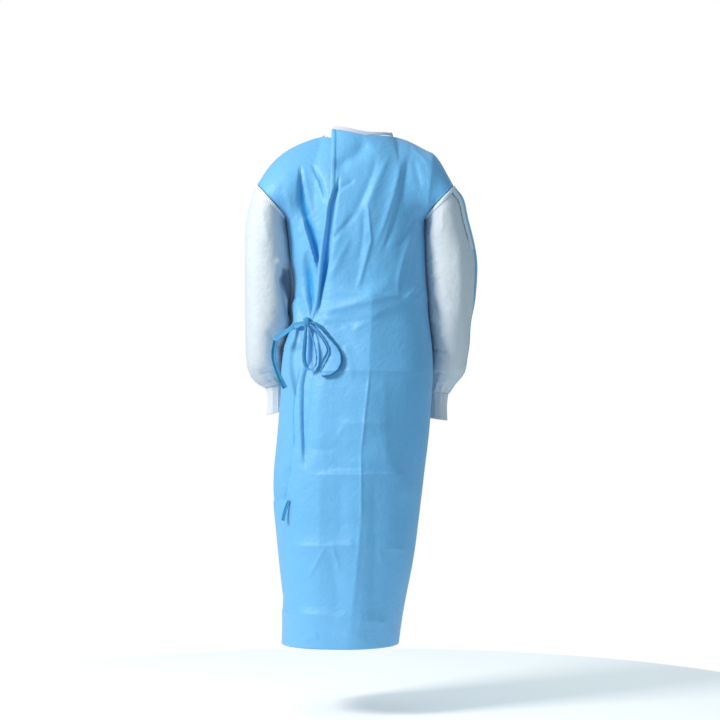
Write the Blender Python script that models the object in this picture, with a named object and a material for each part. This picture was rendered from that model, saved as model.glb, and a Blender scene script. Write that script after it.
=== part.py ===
"""Wraparound surgical gown, as worn, with nothing inside it.

Metres, +Z up. The front of the gown faces +Y and its open back faces -Y.
The origin is at the back of the neck opening, where the gown is held up.
Every piece of cloth is a wall between an outer grid of points and an inner one.
"""
import math

import bmesh
import bpy
import numpy as np

# Cloth and seams
WALL = 0.0015
BINDING_WALL = 0.0022
SEAM_GAP = 0.0004
LAP_DROP = 0.010
LAP_REACH = 0.060
BINDING_HEIGHT = 0.0085
BINDING_LEAN = 0.575
CUFF_WALL = 0.0018
TIE_WALL = 0.0015
SHARP_ANGLE = 50.0

# Counts of cells in the grids
ARM_ROWS = 10
SKIRT_ROWS = 22
SHOULDER_COLUMNS = 6
OUTER_COLUMNS = 12
INNER_COLUMNS = 7
FRONT_COLUMNS = 5
EDGE_CROWDING = 1.35

# How closely a place on the back is looked for
WIDEST_PLACE = 0.9
HALVINGS = 40
EDGE_PASSES = 4

# Levels and the general figure
UNDERARM_Z = -0.219
UNDERARM_DIP = 0.020
UNDERARM_DIP_FROM = 0.80
HEM_Z = -1.243
SECTION_POWER = 2.4
SIDE_SEAM_TURN = 14.0
SIDE_SEAM_RUN = 0.10
NECK_PART = 0.5
BACK_NECK = (0.0, -0.058, -0.026)
FRONT_NECK = (0.0, 0.085, -0.078)
NECK_SLOPE = 55.0
NECK_CENTRE = (0.0, 0.012, 0.0)
LAP_LIFT = 0.014
LAP_LIFT_FROM = 0.7
LAP_LIFT_WIDTH = 0.100

# Outline of the body by height: half sides in x, back and front in y
BODY_COLUMNS = ("z", "left", "right", "back", "front")
BODY = (
    (-1.243, -0.184, 0.098, -0.150, 0.165),
    (-1.174, -0.180, 0.107, -0.149, 0.162),
    (-1.046, -0.193, 0.1325, -0.149, 0.158),
    (-0.916, -0.205, 0.152, -0.150, 0.155),
    (-0.848, -0.206, 0.159, -0.150, 0.152),
    (-0.747, -0.196, 0.171, -0.150, 0.150),
    (-0.648, -0.188, 0.178, -0.148, 0.145),
    (-0.578, -0.186, 0.181, -0.138, 0.138),
    (-0.528, -0.179, 0.178, -0.125, 0.130),
    (-0.463, -0.157, 0.170, -0.116, 0.125),
    (-0.395, -0.1555, 0.165, -0.117, 0.125),
    (-0.308, -0.167, 0.1615, -0.120, 0.128),
    (-0.219, -0.1735, 0.1605, -0.122, 0.128),
)

# Free edge of the outer back panel
EDGE_COLUMNS = ("z", "x")
FREE_EDGE = (
    (-1.243, -0.1825),
    (-1.114, -0.177),
    (-0.967, -0.171),
    (-0.887, -0.1605),
    (-0.788, -0.1555),
    (-0.755, -0.1485),
    (-0.715, -0.154),
    (-0.658, -0.151),
    (-0.583, -0.139),
    (-0.472, -0.1235),
    (-0.453, -0.1055),
    (-0.399, -0.099),
    (-0.298, -0.0896),
    (-0.248, -0.079),
    (-0.201, -0.0754),
    (-0.168, -0.066),
    (-0.012, -0.062),
)

# Shoulder seams, from the neck out to the top of the armhole
SHOULDER_FIELDS = ("x", "y", "z")
SHOULDER_RIGHT = (
    (0.085, -0.002, -0.024),
    (0.115, -0.003, -0.032),
    (0.145, -0.004, -0.047),
    (0.176, -0.005, -0.066),
    (0.191, -0.008, -0.081),
    (0.203, -0.014, -0.099),
    (0.214, -0.022, -0.118),
    (0.222, -0.028, -0.134),
    (0.2285, -0.034, -0.1495),
)
SHOULDER_LEFT = (
    (0.085, 0.004, -0.024),
    (0.115, 0.005, -0.031),
    (0.145, 0.006, -0.043),
    (0.176, 0.006, -0.060),
    (0.205, 0.006, -0.085),
    (0.225, 0.005, -0.112),
    (0.243, 0.004, -0.142),
)

# Armholes: depth of the back and front halves, and how far the front half bows out sideways
ARMHOLE = {
    "right": {"back": 0.070, "front": 0.100, "bow": 0.022},
    "left": {"back": 0.086, "front": 0.084, "bow": 0.004},
}

# Rings of the sleeves below the armhole, as distances from the middle plane
RING_COLUMNS = ("z_inner", "z_outer", "inner", "outer", "back", "front")
RINGS = {
    "right": (
        (-0.243, -0.176, 0.1655, 0.2535, -0.089, 0.089),
        (-0.270, -0.222, 0.1622, 0.2645, -0.086, 0.087),
        (-0.306, -0.270, 0.1624, 0.2768, -0.079, 0.084),
        (-0.345, -0.325, 0.1642, 0.2865, -0.074, 0.084),
        (-0.388, -0.378, 0.1662, 0.2860, -0.069, 0.087),
        (-0.430, -0.426, 0.1692, 0.2815, -0.062, 0.092),
        (-0.463, -0.461, 0.1712, 0.2745, -0.055, 0.097),
        (-0.496, -0.495, 0.1758, 0.2710, -0.045, 0.104),
        (-0.530, -0.530, 0.1785, 0.2695, -0.030, 0.112),
        (-0.560, -0.560, 0.1780, 0.2650, -0.017, 0.118),
        (-0.588, -0.588, 0.1760, 0.2615, -0.003, 0.122),
        (-0.607, -0.608, 0.1745, 0.2510, 0.015, 0.124),
        (-0.622, -0.627, 0.1735, 0.2350, 0.030, 0.123),
        (-0.640, -0.646, 0.1720, 0.2220, 0.046, 0.117),
    ),
    "left": (
        (-0.243, -0.170, 0.1750, 0.2555, -0.089, 0.089),
        (-0.270, -0.214, 0.1709, 0.2660, -0.086, 0.087),
        (-0.306, -0.262, 0.1678, 0.2715, -0.079, 0.084),
        (-0.345, -0.322, 0.1631, 0.2720, -0.074, 0.084),
        (-0.388, -0.376, 0.1580, 0.2720, -0.069, 0.087),
        (-0.430, -0.424, 0.1562, 0.2720, -0.062, 0.092),
        (-0.463, -0.459, 0.1596, 0.2720, -0.055, 0.097),
        (-0.496, -0.494, 0.1699, 0.2720, -0.045, 0.104),
        (-0.530, -0.529, 0.1795, 0.2720, -0.030, 0.112),
        (-0.560, -0.559, 0.1815, 0.2710, -0.017, 0.118),
        (-0.583, -0.583, 0.1800, 0.2685, -0.003, 0.122),
        (-0.600, -0.601, 0.1780, 0.2620, 0.015, 0.124),
        (-0.612, -0.618, 0.1760, 0.2490, 0.030, 0.123),
        (-0.622, -0.632, 0.1740, 0.2260, 0.046, 0.117),
    ),
}
TURNING_RINGS = 3
TOP_SEAM = {
    "right": {"extra": 1, "angle": 174.0},
    "left": {"extra": 0, "angle": 184.0},
}
GATHER_DEPTH = (0.0006, 0.0014, 0.0022, 0.0014)

# Knitted cuffs, by distance below the hem of the sleeve and share of its width
CUFF_COLUMNS = ("drop", "width")
CUFF = (
    (0.0, 1.0),
    (0.022, 0.88),
    (0.045, 0.86),
    (0.066, 0.90),
)

# Largest folds: a line on the cloth from top to bottom, its half width, and its height off the cloth
FOLD_FADE = 0.15
FOLD_COLUMNS = ("x_top", "z_top", "x_low", "z_low", "width", "height")
OUTER_FOLDS = (
    (0.030, -0.400, 0.014, -0.700, 0.034, 0.004),
    (0.014, -0.700, -0.014, -1.240, 0.040, 0.005),
    (-0.122, -0.560, -0.118, -0.800, 0.014, -0.006),
    (-0.076, -0.250, -0.083, -0.440, 0.010, -0.004),
    (0.020, -0.045, -0.046, -0.110, 0.018, -0.003),
    (0.050, -0.060, 0.018, -0.290, 0.020, 0.003),
    (0.105, -0.080, 0.070, -0.300, 0.018, 0.003),
    (-0.030, -0.225, 0.000, -0.380, 0.022, -0.003),
    (0.110, -0.650, 0.125, -0.950, 0.040, -0.004),
    (-0.085, -0.980, -0.110, -1.200, 0.040, 0.004),
)
INNER_FOLDS = (
    (-0.118, -0.130, -0.088, -0.440, 0.026, -0.016),
    (-0.128, -0.235, -0.122, -0.300, 0.012, 0.004),
)
FRONT_FOLDS = (
    (-0.090, -0.520, -0.105, -1.240, 0.032, 0.008),
    (-0.030, -0.560, -0.038, -1.240, 0.028, -0.007),
    (0.020, -0.500, 0.016, -1.240, 0.034, 0.007),
    (0.066, -0.560, 0.054, -1.240, 0.026, -0.006),
    (0.020, -0.110, 0.060, -0.300, 0.030, -0.004),
    (-0.060, -0.160, -0.030, -0.400, 0.030, 0.004),
)

# Tie ribbons: x and z of the middle line, distance behind the cloth, width, and turn out of its plane.
# A row whose out is None is where the ribbon leaves the knot.
TIE_COLUMNS = ("x", "z", "out", "width", "turn")
TIES = {
    "tie_strap_left": (
        (-0.1400, -0.4765, None, 0.0080, 0.0),
        (-0.1500, -0.4835, 0.0100, 0.0160, 0.0),
        (-0.1600, -0.4900, 0.0125, 0.0172, 0.0),
        (-0.1780, -0.5025, 0.0140, 0.0172, 0.0),
        (-0.1960, -0.5150, 0.0150, 0.0160, 0.0),
    ),
    "tie_tail_left": (
        (-0.1956, -0.5185, 0.0160, 0.0110, 60.0),
        (-0.1995, -0.5400, 0.0160, 0.0110, 66.0),
        (-0.1985, -0.5640, 0.0170, 0.0110, 56.0),
        (-0.1870, -0.5990, 0.0180, 0.0110, 50.0),
        (-0.1720, -0.6300, 0.0180, 0.0120, 46.0),
    ),
    "tie_loop_centre": (
        (-0.1260, -0.4860, None, 0.0060, 70.0),
        (-0.1250, -0.5250, 0.0120, 0.0110, 72.0),
        (-0.1265, -0.5600, 0.0110, 0.0110, 72.0),
        (-0.1215, -0.5790, 0.0100, 0.0110, 74.0),
        (-0.1140, -0.5860, 0.0100, 0.0110, 76.0),
        (-0.1050, -0.5830, 0.0100, 0.0110, 76.0),
        (-0.0990, -0.5700, 0.0100, 0.0110, 76.0),
        (-0.0995, -0.5450, 0.0110, 0.0110, 74.0),
        (-0.1065, -0.5150, 0.0120, 0.0100, 72.0),
        (-0.1170, -0.4870, None, 0.0060, 70.0),
    ),
    "tie_loop_right": (
        (-0.1140, -0.4720, None, 0.0060, 70.0),
        (-0.0950, -0.4815, 0.0110, 0.0130, 72.0),
        (-0.0700, -0.5080, 0.0110, 0.0150, 74.0),
        (-0.0470, -0.5360, 0.0110, 0.0150, 76.0),
        (-0.0390, -0.5600, 0.0110, 0.0150, 76.0),
        (-0.0450, -0.5830, 0.0100, 0.0140, 76.0),
        (-0.0640, -0.5980, 0.0090, 0.0120, 76.0),
        (-0.0850, -0.6010, 0.0080, 0.0100, 76.0),
    ),
    "tie_tail_right": (
        (-0.1135, -0.4835, None, 0.0044, 60.0),
        (-0.0965, -0.4975, 0.0080, 0.0060, 50.0),
        (-0.0730, -0.5320, 0.0055, 0.0060, 40.0),
        (-0.0750, -0.5560, 0.0030, 0.0090, 14.0),
        (-0.0930, -0.5900, 0.0014, 0.0130, 2.0),
    ),
    "tie_end_inner": (
        (-0.1625, -0.8958, -0.0072, 0.0080, 4.0),
        (-0.1710, -0.9180, -0.0070, 0.0080, 4.0),
        (-0.1770, -0.9430, -0.0040, 0.0080, 10.0),
    ),
}
KNOT_PLACE = (-0.1185, -0.4735)
KNOT_RADII = (0.0100, 0.0072, 0.0115)
KNOT_LIFT = 0.0063
KNOT_CLEARANCE = 0.0005
KNOT_SEGMENTS = 12
KNOT_RINGS = 8
FLAT_TO = -0.150
SLOPE_STEP = 0.004

COLOURS = {
    "nonwoven_blue": ((0.27, 0.60, 0.86), 0.62),
    "nonwoven_pale": ((0.83, 0.87, 0.94), 0.66),
    "knit_white": ((0.86, 0.88, 0.90), 0.85),
    "binding_white": ((0.86, 0.91, 0.97), 0.70),
}


def clear_scene():
    for item in list(bpy.data.objects):
        bpy.data.objects.remove(item, do_unlink=True)


def material(name):
    """One Principled material for a kind of cloth."""
    found = bpy.data.materials.get(name)
    if found:
        return found
    colour, roughness = COLOURS[name]
    made = bpy.data.materials.new(name)
    made.use_nodes = True
    shader = made.node_tree.nodes["Principled BSDF"]
    shader.inputs["Base Color"].default_value = (*colour, 1.0)
    shader.inputs["Roughness"].default_value = roughness
    shader.inputs["Metallic"].default_value = 0.0
    return made


def smooth(value):
    """Soft step from 0 to 1."""
    value = min(max(value, 0.0), 1.0)
    return value * value * (3.0 - 2.0 * value)


def read(table, columns, key, wanted, value):
    """Value of one named column, between the rows of a table that is sorted by its key column."""
    keys = [row[columns.index(key)] for row in table]
    values = [row[columns.index(wanted)] for row in table]
    return float(np.interp(value, keys, values))


def unit(vector):
    length = float(np.linalg.norm(vector))
    return vector / length if length > 1e-9 else vector


# The skin of the body, before it is cut into panels


def body_point(angle, z):
    """Point of the body's section at a height; 0 degrees is the middle of the back, 90 the right side."""
    left = read(BODY, BODY_COLUMNS, "z", "left", z)
    right = read(BODY, BODY_COLUMNS, "z", "right", z)
    turn = math.radians(angle)
    across = math.sin(turn)
    deep = math.cos(turn)
    reach = read(BODY, BODY_COLUMNS, "z", "back" if deep > 0.0 else "front", z)
    x = math.copysign(abs(across) ** (2.0 / SECTION_POWER), across)
    y = reach * abs(deep) ** (2.0 / SECTION_POWER)
    return np.array(((left + right) / 2.0 + x * (right - left) / 2.0, y, z))


def seam_angle(z):
    """Side seams run down from the underarm, drifting a little to the front."""
    return 90.0 + SIDE_SEAM_TURN * smooth((UNDERARM_Z - z) / SIDE_SEAM_RUN)


def shoulder_point(side, part):
    """Point of a shoulder seam, from 0 at the neck to 1 at the armhole."""
    table = SHOULDER_RIGHT if side == "right" else SHOULDER_LEFT
    sign = 1.0 if side == "right" else -1.0
    x = table[0][0] + part * (table[-1][0] - table[0][0])
    y = read(table, SHOULDER_FIELDS, "x", "y", x)
    z = read(table, SHOULDER_FIELDS, "x", "z", x)
    return np.array((sign * x, y, z))


def armhole_point(side, half, part):
    """Point of the armhole, from 0 at the underarm to 1 at the shoulder seam, by its back or front half."""
    under = body_point(90.0 if side == "right" else -90.0, UNDERARM_Z)
    top = shoulder_point(side, 1.0)
    sign = 1.0 if side == "right" else -1.0
    size = ARMHOLE[side]
    turn = math.pi * part
    point = (under + top) / 2.0 - (top - under) / 2.0 * math.cos(turn)
    if half == "back":
        point = point + np.array((0.0, -size["back"], 0.0)) * math.sin(turn)
    else:
        point = point + np.array((sign * size["bow"], size["front"], 0.0)) * math.sin(turn)
    return point


def top_point(half, place):
    """Neckline and shoulder seams: place runs from -1 at the left armhole to 1 at the right one."""
    side = "right" if place >= 0.0 else "left"
    if abs(place) >= NECK_PART:
        return shoulder_point(side, (abs(place) - NECK_PART) / (1.0 - NECK_PART))
    middle = np.array(BACK_NECK if half == "back" else FRONT_NECK)
    end = shoulder_point(side, 0.0)
    turn = math.pi / 2.0 * abs(place) / NECK_PART
    across = math.sin(turn)
    deep = 1.0 - math.cos(turn)
    return middle + (end - middle) * np.array((across, deep, deep))


def middle_point(half, part):
    """Middle line of the upper back or chest, a curve that leans in towards the neck."""
    low = skirt_point(half, 0.0, SKIRT_ROWS)
    high = np.array(BACK_NECK if half == "back" else FRONT_NECK)
    last = math.radians(NECK_SLOPE)
    centre = (high[1] - low[1] * math.cos(last)) / (1.0 - math.cos(last))
    turn = last * part
    x = low[0] * (1.0 - part)
    y = centre + (low[1] - centre) * math.cos(turn)
    z = low[2] + (high[2] - low[2]) * math.sin(turn) / math.sin(last)
    return np.array((x, y, z))


def skirt_point(half, place, row):
    """Skin below the underarm; the rows dip between the two underarms, which are the highest points."""
    to_side = max(0.0, (abs(place) - UNDERARM_DIP_FROM) / (1.0 - UNDERARM_DIP_FROM))
    dip = UNDERARM_DIP * (1.0 - to_side ** 2) * (row / SKIRT_ROWS) ** 3
    z = HEM_Z + (UNDERARM_Z - HEM_Z) * row / SKIRT_ROWS - dip
    angle = seam_angle(z) * place if row < SKIRT_ROWS else 90.0 * place
    if half == "front":
        side = seam_angle(z) if row < SKIRT_ROWS else 90.0
        angle = 180.0 - (180.0 - side) * place
    return body_point(angle, z)


def upper_point(half, place, part):
    """Skin between the underarm and the shoulders, blended from its four edges."""
    side = "right" if place >= 0.0 else "left"
    out = abs(place)
    middle = middle_point(half, part)
    edge = armhole_point(side, half, part)
    low = skirt_point(half, place, SKIRT_ROWS)
    low_ends = (middle_point(half, 0.0), armhole_point(side, half, 0.0))
    high = top_point(half, place)
    high_ends = (middle_point(half, 1.0), armhole_point(side, half, 1.0))
    flat = np.array((out, out ** 3, out))
    low_share = np.array((1.0 - part, (1.0 - part) ** 2, 1.0 - part))
    high_share = np.array((part, part ** 3, part))
    point = middle * (1.0 - flat) + edge * flat
    point = point + low_share * (low - low_ends[0] * (1.0 - flat) - low_ends[1] * flat)
    point = point + high_share * (high - high_ends[0] * (1.0 - flat) - high_ends[1] * flat)
    return point


def skin_point(half, place, row):
    """Skin of the back or front: row 0 is the hem, SKIRT_ROWS the underarm, the last row the shoulders."""
    if row > SKIRT_ROWS:
        return upper_point(half, place, (row - SKIRT_ROWS) / ARM_ROWS)
    return skirt_point(half, place, row)


def place_of(x, row):
    """Place across the back whose skin lies at this x."""
    low = -WIDEST_PLACE
    high = WIDEST_PLACE
    for _ in range(HALVINGS):
        middle = (low + high) / 2.0
        if skin_point("back", middle, row)[0] < x:
            low = middle
        else:
            high = middle
    return (low + high) / 2.0


def row_height(place, row):
    return float(skin_point("back", place, row)[2])


def edge_place(row):
    """Place of the outer panel's free edge on a row."""
    place = -NECK_PART
    for _ in range(EDGE_PASSES):
        x = read(FREE_EDGE, EDGE_COLUMNS, "z", "x", row_height(place, row))
        place = place_of(x, row)
    return place


def fold_height(table, x, z):
    """Sum of the folds' heights at a point of the cloth, each dying away past its ends and sides."""
    total = 0.0
    for row in table:
        fold = dict(zip(FOLD_COLUMNS, row))
        start = np.array((fold["x_top"], fold["z_top"]))
        run = np.array((fold["x_low"], fold["z_low"])) - start
        length = float(np.linalg.norm(run))
        away = np.array((x, z)) - start
        along = float(away @ run) / length
        across = abs(float(away[0] * run[1] - away[1] * run[0])) / length
        from_top = along / length + FOLD_FADE
        from_low = 1.0 + FOLD_FADE - along / length
        end_fade = smooth(from_top / (2.0 * FOLD_FADE)) * smooth(from_low / (2.0 * FOLD_FADE))
        total += fold["height"] * end_fade * math.exp(-((across / fold["width"]) ** 2))
    return total


# Walls of cloth


class Piece:
    """A piece of cloth: an outer grid of points, and the seams on its edges."""

    def __init__(self, name, cloth, grid, wall=WALL, ring=False):
        self.name = name
        self.cloth = cloth
        self.grid = np.array(grid, dtype=float)
        self.wall = wall
        self.ring = ring
        self.seams = {}

    def normals(self):
        down = np.gradient(self.grid, axis=0)
        if self.ring:
            across = np.roll(self.grid, -1, axis=1) - np.roll(self.grid, 1, axis=1)
        else:
            across = np.gradient(self.grid, axis=1)
        normal = np.cross(across, down)
        length = np.linalg.norm(normal, axis=2, keepdims=True)
        return normal / np.maximum(length, 1e-12)

    def add_seam(self, cell, towards):
        self.seams.setdefault(cell, []).append(towards)

    def skins(self):
        """Outer and inner points, drawn back from every seam."""
        outer = self.grid.copy()
        offset = -self.wall * self.normals()
        for cell, directions in self.seams.items():
            for towards in directions:
                reach = float(offset[cell] @ towards)
                if reach > 0.0:
                    offset[cell] = offset[cell] - reach * towards
                    offset[cell] = self.wall * unit(offset[cell])
                outer[cell] = outer[cell] - 0.5 * SEAM_GAP * towards
        return outer, outer + offset

    def build(self):
        outer, inner = self.skins()
        rows, columns = outer.shape[:2]
        mesh = bmesh.new()
        skins = []
        for points in (outer, inner):
            skins.append([[mesh.verts.new(points[r, c]) for c in range(columns)] for r in range(rows)])
        last = columns if self.ring else columns - 1
        for r in range(rows - 1):
            for c in range(last):
                d = (c + 1) % columns
                mesh.faces.new((skins[0][r][c], skins[0][r][d], skins[0][r + 1][d], skins[0][r + 1][c]))
                mesh.faces.new((skins[1][r][c], skins[1][r + 1][c], skins[1][r + 1][d], skins[1][r][d]))
        for c in range(last):
            d = (c + 1) % columns
            for r in (0, rows - 1):
                mesh.faces.new((skins[0][r][c], skins[0][r][d], skins[1][r][d], skins[1][r][c]))
        if not self.ring:
            for r in range(rows - 1):
                for c in (0, columns - 1):
                    mesh.faces.new((skins[0][r][c], skins[0][r + 1][c], skins[1][r + 1][c], skins[1][r][c]))
        return finish(self.name, mesh, self.cloth)


def finish(name, mesh, cloth):
    """Make one object with its faces pointing out."""
    bmesh.ops.recalc_face_normals(mesh, faces=mesh.faces)
    if mesh.calc_volume(signed=True) < 0.0:
        bmesh.ops.reverse_faces(mesh, faces=mesh.faces)
    data = bpy.data.meshes.new(name)
    mesh.to_mesh(data)
    mesh.free()
    data.materials.append(material(cloth))
    data.shade_smooth()
    data.set_sharp_from_angle(angle=math.radians(SHARP_ANGLE))
    made = bpy.data.objects.new(name, data)
    bpy.context.scene.collection.objects.link(made)
    return made


def sew(first, first_edge, second, second_edge):
    """Two pieces share an edge: each is drawn back from the other by half the seam's gap."""
    points = np.array([first.grid[cell] for cell, _ in first_edge])
    runs = np.gradient(points, axis=0)
    for run, (a, a_in), (b, b_in) in zip(runs, first_edge, second_edge):
        into_first = unit(first.grid[a_in] - first.grid[a])
        into_second = unit(second.grid[b_in] - second.grid[b])
        towards = into_second - into_first
        along = unit(run)
        towards = unit(towards - along * float(towards @ along))
        first.add_seam(a, towards)
        second.add_seam(b, -towards)


def column_edge(column, inward, rows):
    return [((r, column), (r, column + inward)) for r in rows]


def row_edge(row, inward, columns):
    return [((row, c), (row + inward, c)) for c in columns]


# Panels of the body


def displaced(points, folds):
    """A grid with the folds raised along its normals."""
    normals = Piece("plain", "nonwoven_blue", points).normals()
    raised = points.copy()
    for r in range(raised.shape[0]):
        for c in range(raised.shape[1]):
            x, _, z = points[r, c]
            raised[r, c] += normals[r, c] * fold_height(folds, x, z)
    return raised


def outer_places(row):
    start = edge_place(row)
    shares = [(k / OUTER_COLUMNS) ** EDGE_CROWDING for k in range(OUTER_COLUMNS)]
    first = [start + (NECK_PART - start) * share for share in shares]
    second = [NECK_PART + (1.0 - NECK_PART) * k / SHOULDER_COLUMNS for k in range(SHOULDER_COLUMNS + 1)]
    return first + second


def inner_places(row):
    end = place_of(LAP_REACH, row)
    first = [-1.0 + (1.0 - NECK_PART) * k / SHOULDER_COLUMNS for k in range(SHOULDER_COLUMNS)]
    second = [-NECK_PART + (end + NECK_PART) * k / INNER_COLUMNS for k in range(INNER_COLUMNS + 1)]
    return first + second


def keep_seams(points, raised, columns, top_columns):
    """Seam edges keep the plain skin, so that the pieces sewn there still meet."""
    raised[:, columns] = points[:, columns]
    raised[-1, top_columns] = points[-1, top_columns]
    return raised


def outer_panel():
    """Right back panel, which wraps over the left one."""
    rows = range(SKIRT_ROWS + ARM_ROWS + 1)
    points = np.array([[skin_point("back", place, r) for place in outer_places(r)] for r in rows])
    raised = displaced(points, OUTER_FOLDS)
    shoulder = list(range(OUTER_COLUMNS, points.shape[1]))
    raised = keep_seams(points, raised, [-1], shoulder)
    for r in rows:
        rise = smooth(((r - SKIRT_ROWS) / ARM_ROWS - LAP_LIFT_FROM) / (1.0 - LAP_LIFT_FROM))
        for c in range(OUTER_COLUMNS):
            away = raised[r, c][0] - FREE_EDGE[-1][1]
            raised[r, c][2] += LAP_LIFT * rise * (1.0 - smooth(away / LAP_LIFT_WIDTH))
    return Piece("back_panel_right", "nonwoven_blue", raised)


def inner_panel():
    """Left back panel, which drops under the right one towards its hidden edge."""
    rows = range(SKIRT_ROWS + ARM_ROWS + 1)
    points = np.array([[skin_point("back", place, r) for place in inner_places(r)] for r in rows])
    normals = Piece("plain", "nonwoven_blue", points).normals()
    raised = displaced(points, INNER_FOLDS)
    for r in rows:
        edge = edge_place(r)
        for c, place in enumerate(inner_places(r)):
            under = smooth((place + 1.0) / (edge + 1.0))
            raised[r, c] -= normals[r, c] * LAP_DROP * under
    raised = keep_seams(points, raised, [0], list(range(SHOULDER_COLUMNS + 1)))
    return Piece("back_panel_left", "nonwoven_blue", raised)


def front_places():
    shoulder = [1.0 - (1.0 - NECK_PART) * k / SHOULDER_COLUMNS for k in range(SHOULDER_COLUMNS)]
    chest = [NECK_PART - 2.0 * NECK_PART * k / (2 * FRONT_COLUMNS) for k in range(2 * FRONT_COLUMNS + 1)]
    return shoulder + chest + [-p for p in reversed(shoulder)]


def front_panel():
    """Front of the body, from the right side to the left."""
    rows = range(SKIRT_ROWS + ARM_ROWS + 1)
    places = front_places()
    points = np.array([[skin_point("front", place, r) for place in places] for r in rows])
    raised = displaced(points, FRONT_FOLDS)
    shoulders = list(range(SHOULDER_COLUMNS + 1)) + list(range(-SHOULDER_COLUMNS - 1, 0))
    raised = keep_seams(points, raised, [0, -1], shoulders)
    return Piece("front_panel", "nonwoven_blue", raised)


# Sleeves and cuffs


def ring_angles(side, share):
    """Angles of a ring's points, from the underarm round the back, over the top and round the front."""
    split = ARM_ROWS + TOP_SEAM[side]["extra"]
    even = [180.0 * k / ARM_ROWS for k in range(2 * ARM_ROWS + 1)]
    angle = TOP_SEAM[side]["angle"]
    back = [angle * k / split for k in range(split)]
    rest = 2 * ARM_ROWS - split
    front = [angle + (360.0 - angle) * k / rest for k in range(rest + 1)]
    return [a + (b - a) * share for a, b in zip(even, back + front)]


def sleeve_rings(side):
    sign = 1.0 if side == "right" else -1.0
    back = [armhole_point(side, "back", k / ARM_ROWS) for k in range(ARM_ROWS + 1)]
    front = [armhole_point(side, "front", 1.0 - k / ARM_ROWS) for k in range(1, ARM_ROWS + 1)]
    rings = [back + front]
    for number, row in enumerate(RINGS[side]):
        size = dict(zip(RING_COLUMNS, row))
        angles = ring_angles(side, smooth((number + 1) / TURNING_RINGS))
        ring = []
        for k, angle in enumerate(angles):
            turn = math.radians(angle)
            across = (1.0 - math.cos(turn)) / 2.0
            middle_y = (size["back"] + size["front"]) / 2.0
            half_y = (size["front"] - size["back"]) / 2.0
            x = size["inner"] + (size["outer"] - size["inner"]) * across
            z = size["z_inner"] + (size["z_outer"] - size["z_inner"]) * across
            ring.append(np.array((sign * x, middle_y - half_y * math.sin(turn), z)))
        rings.append(ring)
    rings = np.array(rings)
    for step, depth in enumerate(reversed(GATHER_DEPTH)):
        ring = rings[-1 - step]
        middle = ring.mean(axis=0)
        for k in range(1, 2 * ARM_ROWS, 2):
            ring[k] -= unit(ring[k] - middle) * depth
    return rings


def sleeve(side):
    rings = sleeve_rings(side)
    split = ARM_ROWS + TOP_SEAM[side]["extra"]
    back = rings[:, : split + 1]
    front = rings[:, split:]
    if side == "left":
        back = back[:, ::-1]
        front = front[:, ::-1]
    return (
        Piece("sleeve_back_" + side, "nonwoven_pale", back[::-1]),
        Piece("sleeve_front_" + side, "nonwoven_blue", front[::-1]),
    )


def cuff(side, rings):
    """Knitted cuff below the sleeve's last ring."""
    hem = rings[-1][:-1]
    middle = hem.mean(axis=0)
    loops = []
    for row in CUFF:
        size = dict(zip(CUFF_COLUMNS, row))
        loop = middle + (hem - middle) * size["width"]
        loop[:, 2] = hem[:, 2] - size["drop"]
        loops.append(loop)
    loops = np.array(loops)[::-1]
    if side == "left":
        loops = loops[:, ::-1]
    return Piece("cuff_" + side, "knit_white", loops, wall=CUFF_WALL, ring=True)


# Neck binding


def neck_binding(outer, inner, front):
    """Binding round the neckline, from the free corner right round to the hidden end of the inner panel."""
    top = SKIRT_ROWS + ARM_ROWS
    outer_run = [(outer, (top, c)) for c in range(OUTER_COLUMNS + 1)]
    front_first = SHOULDER_COLUMNS
    front_last = SHOULDER_COLUMNS + 2 * FRONT_COLUMNS
    front_run = [(front, (top, c)) for c in range(front_first + 1, front_last)]
    inner_last = SHOULDER_COLUMNS + INNER_COLUMNS
    inner_run = [(inner, (top, c)) for c in range(SHOULDER_COLUMNS, inner_last + 1)]
    run = outer_run + front_run + inner_run
    base = np.array([piece.grid[cell] for piece, cell in run])
    centre = np.array(NECK_CENTRE)
    rise = []
    for point in base:
        inwards = centre - point
        inwards[2] = 0.0
        rise.append(unit(unit(inwards) * BINDING_LEAN + np.array((0.0, 0.0, 1.0))))
    rise = np.array(rise)
    grid = np.array((base, base + rise * BINDING_HEIGHT))
    binding = Piece("neck_binding", "binding_white", grid, wall=BINDING_WALL)
    for column, (piece, cell) in enumerate(run):
        binding.add_seam((0, column), -rise[column])
        piece.add_seam(cell, rise[column])
    right_neck = OUTER_COLUMNS
    left_neck = len(outer_run) + len(front_run)
    front.add_seam((top, front_first), rise[right_neck])
    front.add_seam((top, front_last), rise[left_neck])
    return binding


# Ties


def back_surface(x, z):
    """The y of the back's skin at this x and z, below the underarm."""
    row = (z - HEM_Z) / (UNDERARM_Z - HEM_Z) * SKIRT_ROWS
    return float(skin_point("back", place_of(x, row), row)[1])


def back_frame(x, z):
    """Point and outward normal of the back; past FLAT_TO the cloth's own slope is carried straight on."""
    held = max(x, FLAT_TO)
    y = back_surface(held, z)
    rise = back_surface(held + SLOPE_STEP, z) - back_surface(held - SLOPE_STEP, z)
    slope = rise / (2.0 * SLOPE_STEP)
    return np.array((x, y, z)), unit(np.array((slope, -1.0, 0.0)))


def knot_frame():
    """Centre of the knot, and its sideways, outward and upward directions."""
    point, normal = back_frame(*KNOT_PLACE)
    side = np.array((-normal[1], normal[0], 0.0))
    return point + normal * KNOT_LIFT, side, normal, np.array((0.0, 0.0, 1.0))


def knot_exit(target):
    """Point just outside the knot, on the way from its centre to the target."""
    centre, side, normal, up = knot_frame()
    way = unit(target - centre)
    parts = [float(way @ axis) / radius for axis, radius in zip((side, normal, up), KNOT_RADII)]
    return centre + way * (1.0 / math.hypot(*parts) + KNOT_CLEARANCE)


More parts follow.
